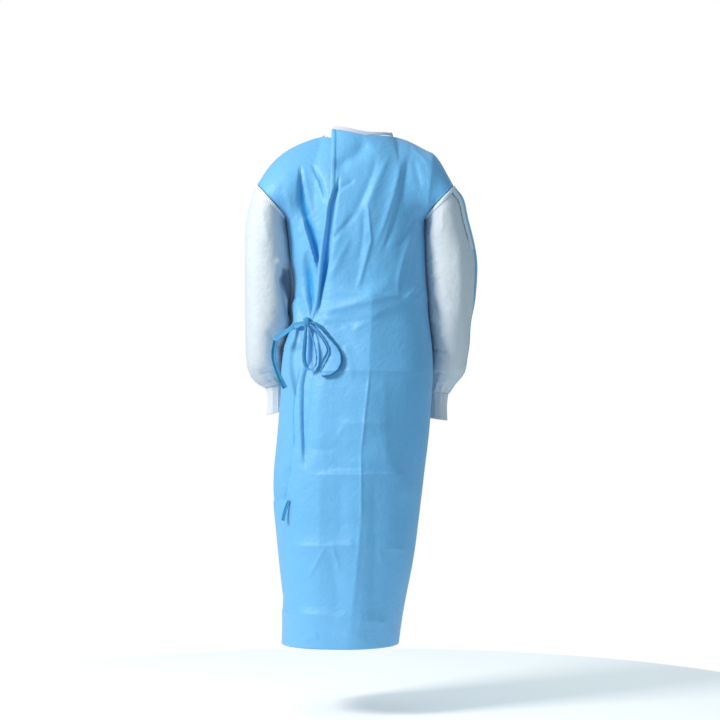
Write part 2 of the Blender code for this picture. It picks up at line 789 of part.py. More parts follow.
def ribbon_line(name):
    """Middle points and normals of a ribbon, its knotted ends set against the knot."""
    rows = [dict(zip(TIE_COLUMNS, row)) for row in TIES[name]]
    middles = []
    normals = []
    for row in rows:
        point, normal = back_frame(row["x"], row["z"])
        middles.append(point + np.array((0.0, -(row["out"] or 0.0), 0.0)))
        normals.append(normal)
    if rows[0]["out"] is None:
        middles[0] = knot_exit(middles[1])
    if rows[-1]["out"] is None:
        middles[-1] = knot_exit(middles[-2])
    return rows, np.array(middles), normals


def ribbon(name):
    """A flat tie: a strip with square edges along its middle line."""
    rows, middles, normals = ribbon_line(name)
    tangents = np.gradient(middles, axis=0)
    mesh = bmesh.new()
    loops = []
    for middle, tangent, normal, row in zip(middles, tangents, normals, rows):
        along = unit(tangent)
        normal = unit(normal - along * float(normal @ along))
        side = np.cross(along, normal)
        turn = math.radians(row["turn"])
        wide = side * math.cos(turn) + normal * math.sin(turn)
        thick = normal * math.cos(turn) - side * math.sin(turn)
        half = wide * row["width"] / 2.0
        deep = thick * TIE_WALL / 2.0
        corners = (middle - half - deep, middle + half - deep, middle + half + deep, middle - half + deep)
        loops.append([mesh.verts.new(corner) for corner in corners])
    for first, second in zip(loops, loops[1:]):
        for k in range(4):
            mesh.faces.new((first[k], first[(k + 1) % 4], second[(k + 1) % 4], second[k]))
    mesh.faces.new(loops[0])
    mesh.faces.new(loops[-1])
    return finish(name, mesh, "nonwoven_blue")


def knot():
    centre, side, normal, up = knot_frame()
    mesh = bmesh.new()
    bmesh.ops.create_uvsphere(mesh, u_segments=KNOT_SEGMENTS, v_segments=KNOT_RINGS, radius=1.0)
    for vert in mesh.verts:
        a, b, c = (part * radius for part, radius in zip(vert.co, KNOT_RADII))
        vert.co = centre + side * a + normal * b + up * c
    return finish("tie_knot", mesh, "nonwoven_blue")


def sleeve_edge(piece_columns, row, inward, points):
    """Cells of a sleeve half's end row, for these points of the ring."""
    return [((row, piece_columns[k]), (row + inward, piece_columns[k])) for k in points]


def set_sleeve(side, body, body_column, body_inward, front, front_column):
    """Sleeve and cuff of one side, sewn to the back panel and to the front."""
    rings = sleeve_rings(side)
    back_half, front_half = sleeve(side)
    split = ARM_ROWS + TOP_SEAM[side]["extra"]
    whole = 2 * ARM_ROWS
    top = len(rings) - 1
    if side == "left":
        back_columns = {k: split - k for k in range(split + 1)}
        front_columns = {k: whole - k for k in range(split, whole + 1)}
    else:
        back_columns = {k: k for k in range(split + 1)}
        front_columns = {k: k - split for k in range(split, whole + 1)}
    arm = range(SKIRT_ROWS, SKIRT_ROWS + ARM_ROWS + 1)
    back_loop = column_edge(body_column, body_inward, arm)
    front_loop = column_edge(front_column, -body_inward, arm)[::-1]
    shoulder = range(ARM_ROWS + 1)
    sew(body, back_loop, back_half, sleeve_edge(back_columns, top, -1, shoulder))
    front_part = range(split, whole + 1)
    sew(front, front_loop[split - ARM_ROWS:], front_half, sleeve_edge(front_columns, top, -1, front_part))
    if split > ARM_ROWS:
        over = range(ARM_ROWS, split + 1)
        sew(front, front_loop[: split - ARM_ROWS + 1], back_half, sleeve_edge(back_columns, top, -1, over))
    every = range(top + 1)
    step = 1 if side == "left" else -1
    top_seam = column_edge(back_columns[split], step, every)
    sew(back_half, top_seam, front_half, column_edge(front_columns[split], -step, every))
    under_seam = column_edge(back_columns[0], -step, every)
    sew(back_half, under_seam, front_half, column_edge(front_columns[whole], step, every))

    band = cuff(side, rings)
    last = len(CUFF) - 1
    columns = {k: whole - 1 - k if side == "left" else k for k in range(whole)}
    columns[whole] = columns[0]
    halves = (
        (back_half, back_columns, range(split + 1)),
        (front_half, front_columns, front_part),
    )
    for half, half_columns, part in halves:
        sew(band, sleeve_edge(columns, last, -1, part), half, sleeve_edge(half_columns, 0, 1, part))
    return [back_half, front_half, band]


def main():
    clear_scene()
    outer = outer_panel()
    inner = inner_panel()
    front = front_panel()
    top = SKIRT_ROWS + ARM_ROWS
    last_outer = OUTER_COLUMNS + SHOULDER_COLUMNS
    last_front = 2 * SHOULDER_COLUMNS + 2 * FRONT_COLUMNS
    skirt = range(0, SKIRT_ROWS + 1)
    sew(outer, column_edge(last_outer, -1, skirt), front, column_edge(0, 1, skirt))
    sew(inner, column_edge(0, 1, skirt), front, column_edge(last_front, -1, skirt))
    seam = range(SHOULDER_COLUMNS + 1)
    right_back = [last_outer - k for k in seam]
    left_front = [last_front - k for k in seam]
    sew(outer, row_edge(top, -1, right_back), front, row_edge(top, -1, seam))
    sew(inner, row_edge(top, -1, seam), front, row_edge(top, -1, left_front))
    pieces = [outer, inner, front]
    pieces += set_sleeve("right", outer, last_outer, -1, front, 0)
    pieces += set_sleeve("left", inner, 0, 1, front, last_front)
    pieces.append(neck_binding(outer, inner, front))
    for piece in pieces:
        piece.build()
    for name in TIES:
        ribbon(name)
    knot()


main()
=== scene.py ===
"""Looks of a wraparound surgical gown, kept in its worn, hollow shape.

Each piece of cloth takes the outer skin of its solid as a grid of points, is drawn finer along
smooth curves, gets its creases, and becomes a thin sheet with its own cloth coordinates.
Creases on the back are placed by where they show in the 720 pixel picture.
"""

import math

import bmesh
import bpy
import numpy as np
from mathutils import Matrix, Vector


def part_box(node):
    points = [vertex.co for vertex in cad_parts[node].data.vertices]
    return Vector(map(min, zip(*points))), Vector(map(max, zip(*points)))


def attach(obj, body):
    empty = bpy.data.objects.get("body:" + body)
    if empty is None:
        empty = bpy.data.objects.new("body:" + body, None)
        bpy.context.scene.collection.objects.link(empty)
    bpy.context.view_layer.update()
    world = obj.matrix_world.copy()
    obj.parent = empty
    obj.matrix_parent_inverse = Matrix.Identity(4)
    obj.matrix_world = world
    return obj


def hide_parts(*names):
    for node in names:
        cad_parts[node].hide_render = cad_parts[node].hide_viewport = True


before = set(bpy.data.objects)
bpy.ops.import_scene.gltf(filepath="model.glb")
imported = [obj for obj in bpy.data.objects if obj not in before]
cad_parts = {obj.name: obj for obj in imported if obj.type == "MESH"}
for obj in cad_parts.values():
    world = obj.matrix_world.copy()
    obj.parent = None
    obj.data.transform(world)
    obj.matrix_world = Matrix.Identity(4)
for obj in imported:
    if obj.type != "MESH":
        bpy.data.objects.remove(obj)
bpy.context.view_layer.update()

# The picture and its camera
PICTURE = 720
PIXEL = 0.00241
CAMERA_DISTANCE = 5.5
CAMERA_X = 0.0048
CAMERA_Z = -0.564
SENSOR = 36.0
FLOOR_Z = -1.41

# Cloth
WALLS = {"cloth": 0.0015, "binding": 0.0022, "tie": 0.0015}
MERGE = 2e-5
WALL_MATCH = 3e-5
CLOTH_THICKNESS = 0.0005
SEAM_HOLD = 0.014
NARROWEST_SHEET = 0.0101
EDGE_STEP = 0.0013

# Sewn edges: the cloth dips into the seam over this far, and shade is painted along them over the same width
SEAM_WIDTH = 0.0034
SEAM_DIP = 0.0022
SEAM_PLUMP = 0.0009
SIDE_SEAM = 0.0

# Free edge of the outer panel: a rolled strip with a valley beside it
ROLL_MIDDLE = 0.0052
ROLL_WIDTH = 0.0056
ROLL_HEIGHT = 0.0030
# Folds deeper than a share of this depth get painted shade.
SHADED_FOLD_DEPTH = 0.011
# Width of a painted shadow along the lapped free edge below the waist.
LAP_SHADOW_WIDTH = 0.0026

# Overlocked seam allowances
OVERLOCK_WIDTH = 0.0100
OVERLOCK_LIFT = 0.0009
OVERLOCK_RIB = 0.0013
OVERLOCK_PITCH = 0.0046
OVERLOCK_STEP = 0.0008
OVERLOCK_LINES = 7

# The right sleeve's blue front half is lapped over the edge of its back half, in pixels from its outline
LAPPED_PIXELS = 1.9
OVERLOCK_PIXELS = 5.0
LAPPED_LEAST = 0.003
LAPPED_LIFT = 0.0009
# Width of the painted shade line along that seam.
SEAM_SHADE_LINE_WIDTH = 0.0026

# The sleeves lie against the body from below the armholes to the elbows
TOUCH_PIXELS = 0.7
TOUCH_MOST = 2.8
TOUCH_REACH = 0.040

# Gathers where a sleeve meets its cuff
GATHER_REACH = 0.040
GATHER_HEIGHT = 0.0017
GATHER_PITCH = 0.0135

# Rows and columns of points in the solids' skins
UNDERARM_ROW = 22
PANELS = {
    "back_panel_right": {"rows": 33, "columns": 19, "armholes": (-1,), "neck": (12,), "close": (0.028, 0.008),
                         "rolled": True},
    "back_panel_left": {"rows": 33, "columns": 14, "armholes": (0,), "neck": (6,), "close": (0.008, 0.004)},
    "front_panel": {"rows": 33, "columns": 23, "armholes": (0, -1), "neck": (6, 16), "close": (0.006, 0.006)},
}
SLEEVES = {
    "sleeve_back_left": {"rows": 15, "columns": 11},
    "sleeve_back_right": {"rows": 15, "columns": 12},
    "sleeve_front_left": {"rows": 15, "columns": 11},
    "sleeve_front_right": {"rows": 15, "columns": 10},
}
BINDING = {"rows": 2, "columns": 30}
TIES = {
    "tie_strap_left": 5,
    "tie_tail_left": 5,
    "tie_loop_centre": 10,
    "tie_loop_right": 8,
    "tie_tail_right": 5,
    "tie_end_inner": 3,
}


# Reading a solid's skin back as rows and columns


def triangles_of(node):
    """Points and triangles of a solid, with shared points merged."""
    mesh = bmesh.new()
    mesh.from_mesh(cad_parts[node].data)
    bmesh.ops.remove_doubles(mesh, verts=mesh.verts, dist=MERGE)
    points = np.array([vert.co[:] for vert in mesh.verts])
    faces = [tuple(vert.index for vert in face.verts) for face in mesh.faces]
    mesh.free()
    return points, faces


def edges_of(face):
    return [(face[k], face[(k + 1) % len(face)]) for k in range(len(face))]


def skins_of(points, faces, wall):
    """The two skins left when the rim, whose triangles all have an edge across the wall, is taken off."""
    def is_rim(face):
        return any(abs(np.linalg.norm(points[a] - points[b]) - wall) < WALL_MATCH for a, b in edges_of(face))

    kept = [face for face in faces if not is_rim(face)]
    group = {}

    def leader(point):
        while group.setdefault(point, point) != point:
            point = group[point]
        return point

    for face in kept:
        for a, b in edges_of(face):
            group[leader(a)] = leader(b)
    skins = {}
    for face in kept:
        skins.setdefault(leader(face[0]), []).append(face)
    return sorted(skins.values(), key=len)[-2:]


def area_of(points, skin):
    corners = points[np.array(skin)]
    return np.linalg.norm(np.cross(corners[:, 1] - corners[:, 0], corners[:, 2] - corners[:, 0]), axis=1).sum()


def border_of(skin):
    """The skin's border as a closed chain of points."""
    every = {edge for face in skin for edge in edges_of(face)}
    following = {a: b for a, b in every if (b, a) not in every}
    chain = [min(following)]
    while following[chain[-1]] != chain[0]:
        chain.append(following[chain[-1]])
    return chain


def rows_from(chain, rows, columns, thirds, cells):
    """Rows of a grid worked out from its border, or None where the border starts at a wrong point."""
    left = [chain[0]] + chain[:-rows:-1]
    right = chain[columns - 1:columns - 1 + rows]
    grid = [chain[:columns]]
    for row in range(1, rows):
        low = grid[-1]
        high = [left[row]]
        for a, d in zip(low, low[1:]):
            b = high[-1]
            found = None
            for v in thirds.get(frozenset((a, b)), ()):
                if v == d:
                    others = [w for w in thirds[frozenset((b, d))] if w != a]
                    found = others[0] if others else None
                elif frozenset((a, v, d)) in cells:
                    found = v
            if found is None:
                return None
            high.append(found)
        if high[-1] != right[row]:
            return None
        grid.append(high)
    return grid


def grid_of(node, rows, columns, wall):
    """Outer skin of a node as a grid of points, from its lowest row up, its normal pointing out."""
    points, faces = triangles_of(node)
    outer = max(skins_of(points, faces, wall), key=lambda skin: area_of(points, skin))
    thirds = {}
    for face in outer:
        for k in range(3):
            thirds.setdefault(frozenset((face[k], face[(k + 1) % 3])), []).append(face[(k + 2) % 3])
    cells = {frozenset(face) for face in outer}
    chain = border_of(outer)
    for start in range(len(chain)):
        turned = chain[start:] + chain[:start]
        grid = rows_from(turned, rows, columns, thirds, cells)
        if grid is not None and points[grid[0]][:, 2].mean() < points[grid[-1]][:, 2].mean():
            return points[np.array(grid)]
    raise ValueError("no grid of " + str((rows, columns)) + " in " + node)


# Smooth curves and surfaces through grids


def natural(values, at):
    """Natural cubic spline through values at 0, 1, 2 and on."""
    count = len(values)
    flat = values.reshape(count, -1)
    bend = np.zeros_like(flat)
    if count > 2:
        band = 4.0 * np.eye(count - 2) + np.eye(count - 2, k=1) + np.eye(count - 2, k=-1)
        bend[1:-1] = np.linalg.solve(band, 6.0 * (flat[2:] - 2.0 * flat[1:-1] + flat[:-2]))
    first = np.clip(np.floor(at).astype(int), 0, count - 2)
    t = (at - first)[:, None]
    s = 1.0 - t
    found = s * flat[first] + t * flat[first + 1]
    found += ((s ** 3 - s) * bend[first] + (t ** 3 - t) * bend[first + 1]) / 6.0
    return found.reshape((len(at),) + values.shape[1:])


def spline(values, at, corners=()):
    """Splines through values, with a corner at each of these places."""
    found = np.empty((len(at),) + values.shape[1:])
    ends = [0, *corners, len(values) - 1]
    for first, last in zip(ends, ends[1:]):
        inside = (at >= first) & (at <= last)
        found[inside] = natural(values[first:last + 1], at[inside] - first)
    return found


def steps_along(line, step, weight=None):
    """Places along a line of points about one step apart, closer where the weight is over 1."""
    fine = np.linspace(0.0, len(line) - 1.0, 40 * len(line))
    curve = spline(line, fine)
    lengths = np.linalg.norm(np.diff(curve, axis=0), axis=1)
    if weight is not None:
        lengths = lengths * weight((curve[1:] + curve[:-1]) / 2.0)
    total = np.concatenate(([0.0], np.cumsum(lengths)))
    return np.interp(np.linspace(0.0, total[-1], max(2, int(round(total[-1] / step)) + 1)), total, fine)


def finer_ends(line, places, before, after):
    """Places along a line, with close ones within these distances of its two ends."""
    fine = np.linspace(0.0, len(line) - 1.0, 40 * len(line))
    lengths = np.linalg.norm(np.diff(spline(line, fine), axis=0), axis=1)
    runs = np.concatenate(([0.0], np.cumsum(lengths)))
    known = np.interp(places, fine, runs)
    kept = known[(known >= before) & (known <= runs[-1] - after)]
    near = np.arange(EDGE_STEP, before, EDGE_STEP)
    far = runs[-1] - np.arange(EDGE_STEP, after, EDGE_STEP)
    every = np.unique(np.concatenate(([0.0], near, kept, far, [runs[-1]])))
    return np.interp(every, runs, fine)


def smooth(value):
    value = np.clip(value, 0.0, 1.0)
    return value * value * (3.0 - 2.0 * value)


def normals_of(grid, ring=False):
    up = np.gradient(grid, axis=0)
    if ring:
        across = np.roll(grid, -1, axis=1) - np.roll(grid, 1, axis=1)
    else:
        across = np.gradient(grid, axis=1)
    normal = np.cross(across, up)
    return normal / np.maximum(np.linalg.norm(normal, axis=2, keepdims=True), 1e-9)


def run_lengths(grid, axis):
    """Length of cloth from the first point to each point, along rows or columns."""
    steps = np.linalg.norm(np.diff(grid, axis=axis), axis=2)
    start = np.zeros_like(np.take(steps, [0], axis=axis))
    return np.concatenate((start, np.cumsum(steps, axis=axis)), axis=axis)


# Pieces


def shown(points):
    """Picture places of points: pixels from the left and from the top."""
    near = 1.0 + points[..., 1] / CAMERA_DISTANCE
    across = PICTURE / 2.0 + (points[..., 0] - CAMERA_X) / near / PIXEL
    down = PICTURE / 2.0 - (points[..., 2] - CAMERA_Z) / near / PIXEL
    return across, down


CREASE_COLUMNS = ("x1", "y1", "x2", "y2", "bow", "before", "after", "height", "sharp")


def crease_height(rows, across, down):
    """Height in metres of all creases at picture places.

    A crease runs from x1, y1 to x2, y2 in pixels, bowed sideways by bow pixels. before and after are
    its widths in mm: left and right of one that runs down, below and above one that runs right.
    """
    total = np.zeros_like(across)
    for row in rows:
        crease = dict(zip(CREASE_COLUMNS, row))
        run = np.array((crease["x2"] - crease["x1"], crease["y2"] - crease["y1"]), dtype=float)
        length = np.linalg.norm(run)
        away_x = across - crease["x1"]
        away_y = down - crease["y1"]
        share = (away_x * run[0] + away_y * run[1]) / length ** 2
        side = (away_x * run[1] - away_y * run[0]) / length
        side = (side - crease["bow"] * 4.0 * share * (1.0 - share)) * PIXEL * 1000.0
        fade = smooth((share + 0.12) / 0.30) * smooth((1.12 - share) / 0.30)
        wide = np.where(side < 0.0, crease["before"], crease["after"])
        total += crease["height"] / 1000.0 * fade * np.exp(-np.abs(side / wide) ** crease["sharp"])
    return total


FOLD_COLUMNS = ("down", "across", "left", "right", "height")
FOLD_SHARP = 2.3


def fold_height(folds, across, down):
    """Height in metres of folds that run down the cloth.

    Each fold is a line of places in pixels, with its widths to the left and right and its height in mm.
    """
    total = np.zeros_like(across)
    for fold in folds:
        line = dict(zip(FOLD_COLUMNS, np.array(fold, dtype=float).T))
        side = (across - np.interp(down, line["down"], line["across"])) * PIXEL * 1000.0
        wide = np.interp(down, line["down"], line["left"])
        wide = np.where(side < 0.0, wide, np.interp(down, line["down"], line["right"]))
        height = np.interp(down, line["down"], line["height"], 0.0, 0.0)
        total += height / 1000.0 * np.exp(-np.abs(side / wide) ** FOLD_SHARP)
    return total


def sheet_mesh(name, grid, material, ring=False, thickness=CLOTH_THICKNESS, cloth=None, painted_shade=None):
    """A thin sheet through a grid of points, with its cloth coordinates in metres."""
    rows, columns = grid.shape[:2]
    if cloth is None:
        cloth = np.stack((run_lengths(grid, 1), run_lengths(grid, 0)), axis=2)
    last = columns if ring else columns - 1
    numbers = np.arange(rows * columns).reshape(rows, columns)
    a = numbers[:-1, :last]
    b = np.roll(numbers, -1, axis=1)[:-1, :last]
    c = np.roll(numbers, -1, axis=1)[1:, :last]
    d = numbers[1:, :last]
    faces = np.stack((a, b, c, d), axis=2).reshape(-1, 4)
    data = bpy.data.meshes.new(name)
    data.from_pydata(grid.reshape(-1, 3).tolist(), [], faces.tolist())
    layer = data.uv_layers.new(name="cloth")
    layer.data.foreach_set("uv", cloth.reshape(-1, 2)[faces.reshape(-1)].astype(np.float32).ravel())
    # The mask of painted shade: seams, deep folds and shadowed lines that the material darkens.
    if painted_shade is not None:
        shade_layer = data.attributes.new("painted_shade", "FLOAT", "POINT")
        shade_layer.data.foreach_set("value", painted_shade.astype(np.float32).ravel())
    data.materials.append(material)
    data.shade_smooth()
    piece = bpy.data.objects.new(name, data)
    bpy.context.scene.collection.objects.link(piece)
    if thickness > 0.0:
        wall = piece.modifiers.new("wall", "SOLIDIFY")
        wall.thickness = thickness
        wall.offset = -1.0
        apply_modifiers(piece)
    return piece


def apply_modifiers(piece):
    bpy.ops.object.select_all(action="DESELECT")
    piece.select_set(True)
    bpy.context.view_layer.objects.active = piece
    for modifier in list(piece.modifiers):
        bpy.ops.object.modifier_apply(modifier=modifier.name)


# Materials


class Nodes:
    """Short calls for building a material's nodes."""

    def __init__(self, name):
        self.material = bpy.data.materials.new(name)
        self.material.use_nodes = True
        self.tree = self.material.node_tree
        self.shader = self.tree.nodes["Principled BSDF"]

    def add(self, kind, values=None, **settings):
        node = self.tree.nodes.new("ShaderNode" + kind)
        for key, value in settings.items():
            setattr(node, key, value)
        for key, value in (values or {}).items():
            self.put(node, key, value)
        return node

    def put(self, node, key, value):
        socket = node.inputs[key]
        if hasattr(value, "is_output"):
            self.tree.links.new(value, socket)
        else:
            socket.default_value = value

    def cloth(self, scale, turn=0.0):
        """The piece's cloth coordinates, in repeats of a pattern."""
        source = self.add("UVMap", uv_map="cloth")
        place = self.add("Mapping", {"Vector": source.outputs[0], "Scale": scale, "Rotation": (0.0, 0.0, turn)})
        return place.outputs[0]

    def noise(self, vector, scale, detail=3.0, rough=0.55):
        return self.add("TexNoise", {"Vector": vector, "Scale": scale, "Detail": detail, "Roughness": rough}).outputs[0]

    def ranged(self, value, low, high, to_low, to_high):
        node = self.add("MapRange", {"Value": value, "From Min": low, "From Max": high, "To Min": to_low, "To Max": to_high})
        return node.outputs[0]

    def math(self, operation, first, second):
        node = self.add("Math", operation=operation)
        self.put(node, 0, first)
        self.put(node, 1, second)
        return node.outputs[0]

    def tint(self, colour, share):
        """The colour scaled by a share that varies over the cloth."""
        node = self.add("VectorMath", operation="SCALE")
        node.inputs[0].default_value = colour
        self.put(node, "Scale", share)
        return node.outputs[0]

    def bump(self, height, distance, strength=1.0, after=None):
        values = {"Height": height, "Distance": distance, "Strength": strength}
        if after is not None:
            values["Normal"] = after
        return self.add("Bump", values).outputs[0]


def nonwoven(name, colour, roughness, sheen, crumple=1.0, deep=(0.10, 0.16, 0.24), shine=0.35):
    """Bonded nonwoven: a fine grid of bond points, tangled fibres, cloudy tone and soft crumpling, with shade painted
    in the deep colour into seams and deep folds.
    """
    nodes = Nodes(name)
    plain = nodes.cloth((1.0, 1.0, 1.0))
    bonds = nodes.add("TexVoronoi", {"Vector": nodes.cloth((620.0, 440.0, 1.0)), "Scale": 1.0, "Randomness": 0.0})
    dots = nodes.ranged(bonds.outputs["Distance"], 0.18, 0.42, 0.0, 1.0)
    fibres = nodes.noise(nodes.cloth((1900.0, 500.0, 1.0), 0.3), 1.0, 2.0)
    crumples = nodes.noise(plain, 55.0, 4.0, 0.6)
    clouds = nodes.noise(plain, 16.0, 3.0)
    share = nodes.math("ADD", nodes.ranged(clouds, 0.3, 0.7, 0.975, 1.02), nodes.ranged(fibres, 0.3, 0.7, -0.012, 0.012))
    share = nodes.math("MULTIPLY", share, nodes.ranged(dots, 0.0, 1.0, 0.975, 1.0))
    # Painted shade: where the piece's mask marks seams, deep folds and shadowed edges, the deep colour takes the place
    # of the cloth's colour.
    painted_shade = nodes.add("Attribute", attribute_name="painted_shade").outputs["Fac"]
    mixed = nodes.add("Mix", data_type="RGBA")
    nodes.put(mixed, 0, painted_shade)
    nodes.put(mixed, 6, nodes.tint(colour, share))
    nodes.put(mixed, 7, nodes.tint(deep, share))
    nodes.put(nodes.shader, "Base Color", mixed.outputs[2])
    nodes.put(nodes.shader, "Roughness", nodes.ranged(fibres, 0.3, 0.7, roughness - 0.05, roughness + 0.05))
    nodes.shader.inputs["Sheen Weight"].default_value = sheen
    nodes.shader.inputs["Sheen Roughness"].default_value = 0.5
    nodes.shader.inputs["Specular IOR Level"].default_value = shine
    soft = nodes.bump(crumples, 0.0016 * crumple)
    embossed = nodes.bump(dots, 0.00006, after=soft)
    nodes.put(nodes.shader, "Normal", nodes.bump(fibres, 0.00003, after=embossed))
    return nodes.material


def knit(name, colour):
    """Rib knit: wales along the cloth, with a stitch's pitch across them."""
    nodes = Nodes(name)
    wales = nodes.add("TexWave", {"Vector": nodes.cloth((1.0, 1.0, 1.0)), "Scale": 120.0, "Distortion": 0.3}, bands_direction="X")
    rows = nodes.add("TexWave", {"Vector": nodes.cloth((1.0, 1.0, 1.0)), "Scale": 160.0, "Distortion": 0.6}, bands_direction="Y")
    stitches = nodes.math("MULTIPLY", wales.outputs["Fac"], rows.outputs["Fac"])
    fuzz = nodes.noise(nodes.cloth((1.0, 1.0, 1.0)), 900.0, 2.0)
    nodes.put(nodes.shader, "Base Color", nodes.tint(colour, nodes.ranged(stitches, 0.0, 1.0, 0.82, 1.02)))
    nodes.put(nodes.shader, "Roughness", nodes.ranged(fuzz, 0.3, 0.7, 0.8, 0.95))
    nodes.shader.inputs["Sheen Weight"].default_value = 0.25
    stitched = nodes.bump(stitches, 0.0004)
    nodes.put(nodes.shader, "Normal", nodes.bump(fuzz, 0.00008, after=stitched))
    return nodes.material


def floor_paint(name):
    nodes = Nodes(name)
    grain = nodes.noise(nodes.add("TexCoord").outputs["Object"], 3.0, 2.0)
    nodes.put(nodes.shader, "Base Color", nodes.tint((0.93, 0.93, 0.93), nodes.ranged(grain, 0.3, 0.7, 0.99, 1.01)))
    nodes.shader.inputs["Roughness"].default_value = 0.9
    nodes.shader.inputs["Emission Color"].default_value = (1.0, 1.0, 1.0, 1.0)
    nodes.shader.inputs["Emission Strength"].default_value = FLOOR_GLOW
    return nodes.material


# BLUE's darker colour (0.015, 0.33, 0.74), and the default one that PALE takes, is painted shade for seams and deep
# folds.
BLUE = nonwoven("gown_blue", (0.145, 0.465, 0.815), 0.50, 0.20, 1.2, (0.015, 0.33, 0.74), 0.6)
PALE = nonwoven("sleeve_pale", (0.66, 0.705, 0.76), 0.60, 0.10, 1.6)
# The ties' blue is darker than the gown's as painted shade for their shaded sides; TIE_SHADED is a still darker shaded
# copy for the ties facing away from the light.
TIE_BLUE = nonwoven("tie_blue", (0.07, 0.33, 0.62), 0.55, 0.10, 0.6)
TIE_SHADED = nonwoven("tie_shaded", (0.03, 0.24, 0.47), 0.55, 0.08, 0.6)
BINDING_WHITE = nonwoven("binding_white", (0.60, 0.66, 0.80), 0.65, 0.10, 0.3)
THREAD_WHITE = nonwoven("overlock_white", (0.78, 0.83, 0.90), 0.7, 0.2, 0.2)
KNIT = knit("cuff_knit", (0.82, 0.86, 0.90))


# Creases, as they show in the picture

OUTER_CREASES = (
    # upper back
    (338, 190, 354, 181, 0, 3.0, 6.0, -4.0, 1.4),
    (366, 144, 336, 168, 2, 15.0, 15.0, -5.0, 1.9),
    (409, 154, 385, 248, 2, 4.0, 13.0, -4.6, 1.5),
    (402, 158, 378, 240, 2, 8.0, 5.0, 2.6, 1.7),
    (388, 156, 366, 208, 0, 9.0, 12.0, 3.4, 1.7),
    (376, 160, 354, 214, 2, 9.0, 9.0, -3.0, 1.8),
    (368, 206, 371, 242, 0, 5.0, 4.0, 2.8, 1.5),
    (371, 240, 359, 286, 0, 7.0, 5.0, 3.8, 1.5),
    (363, 214, 358, 262, 2, 5.0, 7.0, -2.6, 1.6),
    (355, 213, 333, 239, 0, 4.0, 9.0, -3.2, 1.5),
    (349, 240, 330, 278, 0, 8.0, 8.0, 2.4, 1.7),
    (418, 212, 399, 246, 0, 4.0, 9.0, -3.4, 1.4),
    (413, 235, 397, 292, -3, 7.0, 5.0, 3.6, 1.5),
    (421, 232, 410, 282, -2, 6.0, 6.0, -2.4, 1.6),
    (418, 286, 403, 300, 0, 5.0, 4.0, 3.6, 1.5),
    (425, 291, 414, 301, 0, 4.0, 4.0, 2.4, 1.5),
    (394, 277, 340, 309, 4, 16.0, 18.0, 3.6, 1.7),
    (412, 148, 428, 166, 0, 3.0, 4.0, 2.4, 1.5),
    (414, 160, 420, 186, 0, 7.0, 6.0, -2.4, 1.6),
    (431, 152, 426, 214, 1, 34.0, 20.0, 8.5, 1.25),
    (346, 212, 330, 262, 0, 12.0, 12.0, 2.0, 1.8),
    (352, 150, 348, 172, 0, 10.0, 10.0, 1.6, 1.8),
    # centre fold from packing
    (372, 290, 368.6, 380, 0, 52.0, 46.0, 7.5, 1.05),
    (368.6, 380, 361, 452, 0, 56.0, 48.0, 8.5, 1.05),
    (361, 452, 361, 519, 0, 56.0, 48.0, 8.5, 1.05),
    (361, 519, 349, 650, 0, 56.0, 48.0, 8.5, 1.05),
    (369.5, 372, 361, 452, 0, 3.0, 2.4, 1.8, 1.4),
    (361, 452, 361, 519, 0, 3.0, 2.4, 1.8, 1.4),
    (361, 519, 350, 640, 0, 3.0, 2.4, 1.6, 1.4),
    # folds across, from packing
    (340, 292, 427, 298, 0, 16.0, 24.0, 4.6, 1.1),
    (321, 371, 424, 372, 0, 14.0, 26.0, 4.4, 1.05),
    (342, 423, 386, 423, 0, 22.0, 12.0, 4.0, 1.05),
    (342, 428, 339, 436, 0, 4.0, 4.0, 2.0, 1.4),
    (312, 450, 331, 450, 0, 5.0, 9.0, -2.0, 1.4),
    (330, 471, 362, 471, 0, 3.0, 4.0, 2.4, 1.5),
    (318, 474.5, 400, 473.5, 0, 26.0, 6.0, 5.6, 1.1),
    (292, 546, 362, 546, 0, 24.0, 12.0, 5.4, 1.1),
    (330, 544, 354, 544, 0, 7.0, 7.0, 1.6, 1.5),
    (362, 547, 404, 549, 0, 22.0, 12.0, 3.8, 1.1),
    (284, 612, 355, 619, 1, 34.0, 12.0, 7.5, 1.1),
    (355, 619, 384, 622, 0, 30.0, 12.0, 6.0, 1.1),
    (374, 476, 374, 640, 0, 20.0, 24.0, -3.0, 1.3),
    (320, 476, 320, 545, 0, 22.0, 14.0, 2.4, 1.15),
    (342, 478, 340, 540, 0, 16.0, 14.0, -2.0, 1.4),
    (384, 372, 386, 470, 0, 20.0, 20.0, 2.0, 1.2),
    (379, 438, 411, 497, -2, 34.0, 22.0, 4.6, 1.25),
    (325, 548, 309, 577, 0, 3.5, 4.0, 2.4, 1.4),
    (333, 548, 340, 570, 0, 3.5, 3.5, 2.0, 1.4),
    (378, 548, 382, 562, 0, 3.5, 3.5, 1.6, 1.4),
    (330, 556, 338, 612, 2, 16.0, 18.0, -2.4, 1.5),
    (300, 560, 296, 606, 0, 18.0, 16.0, 2.2, 1.4),
    (304, 640, 318, 635, 0, 6.0, 6.0, 2.6, 1.5),
    (345, 632, 366, 640, 0, 8.0, 8.0, 2.0, 1.5),
    # pull from the knot
    (322, 318, 350, 330, 2, 9.0, 12.0, 3.6, 1.5),
    (352, 334, 404, 303, 5, 12.0, 26.0, 4.4, 1.5),
    (322, 312, 396, 295, 0, 8.0, 12.0, 3.2, 1.5),
    (334, 322, 372, 318, -3, 10.0, 10.0, -3.4, 1.6),
    (346, 346, 352, 380, 0, 12.0, 12.0, 2.4, 1.6),
)
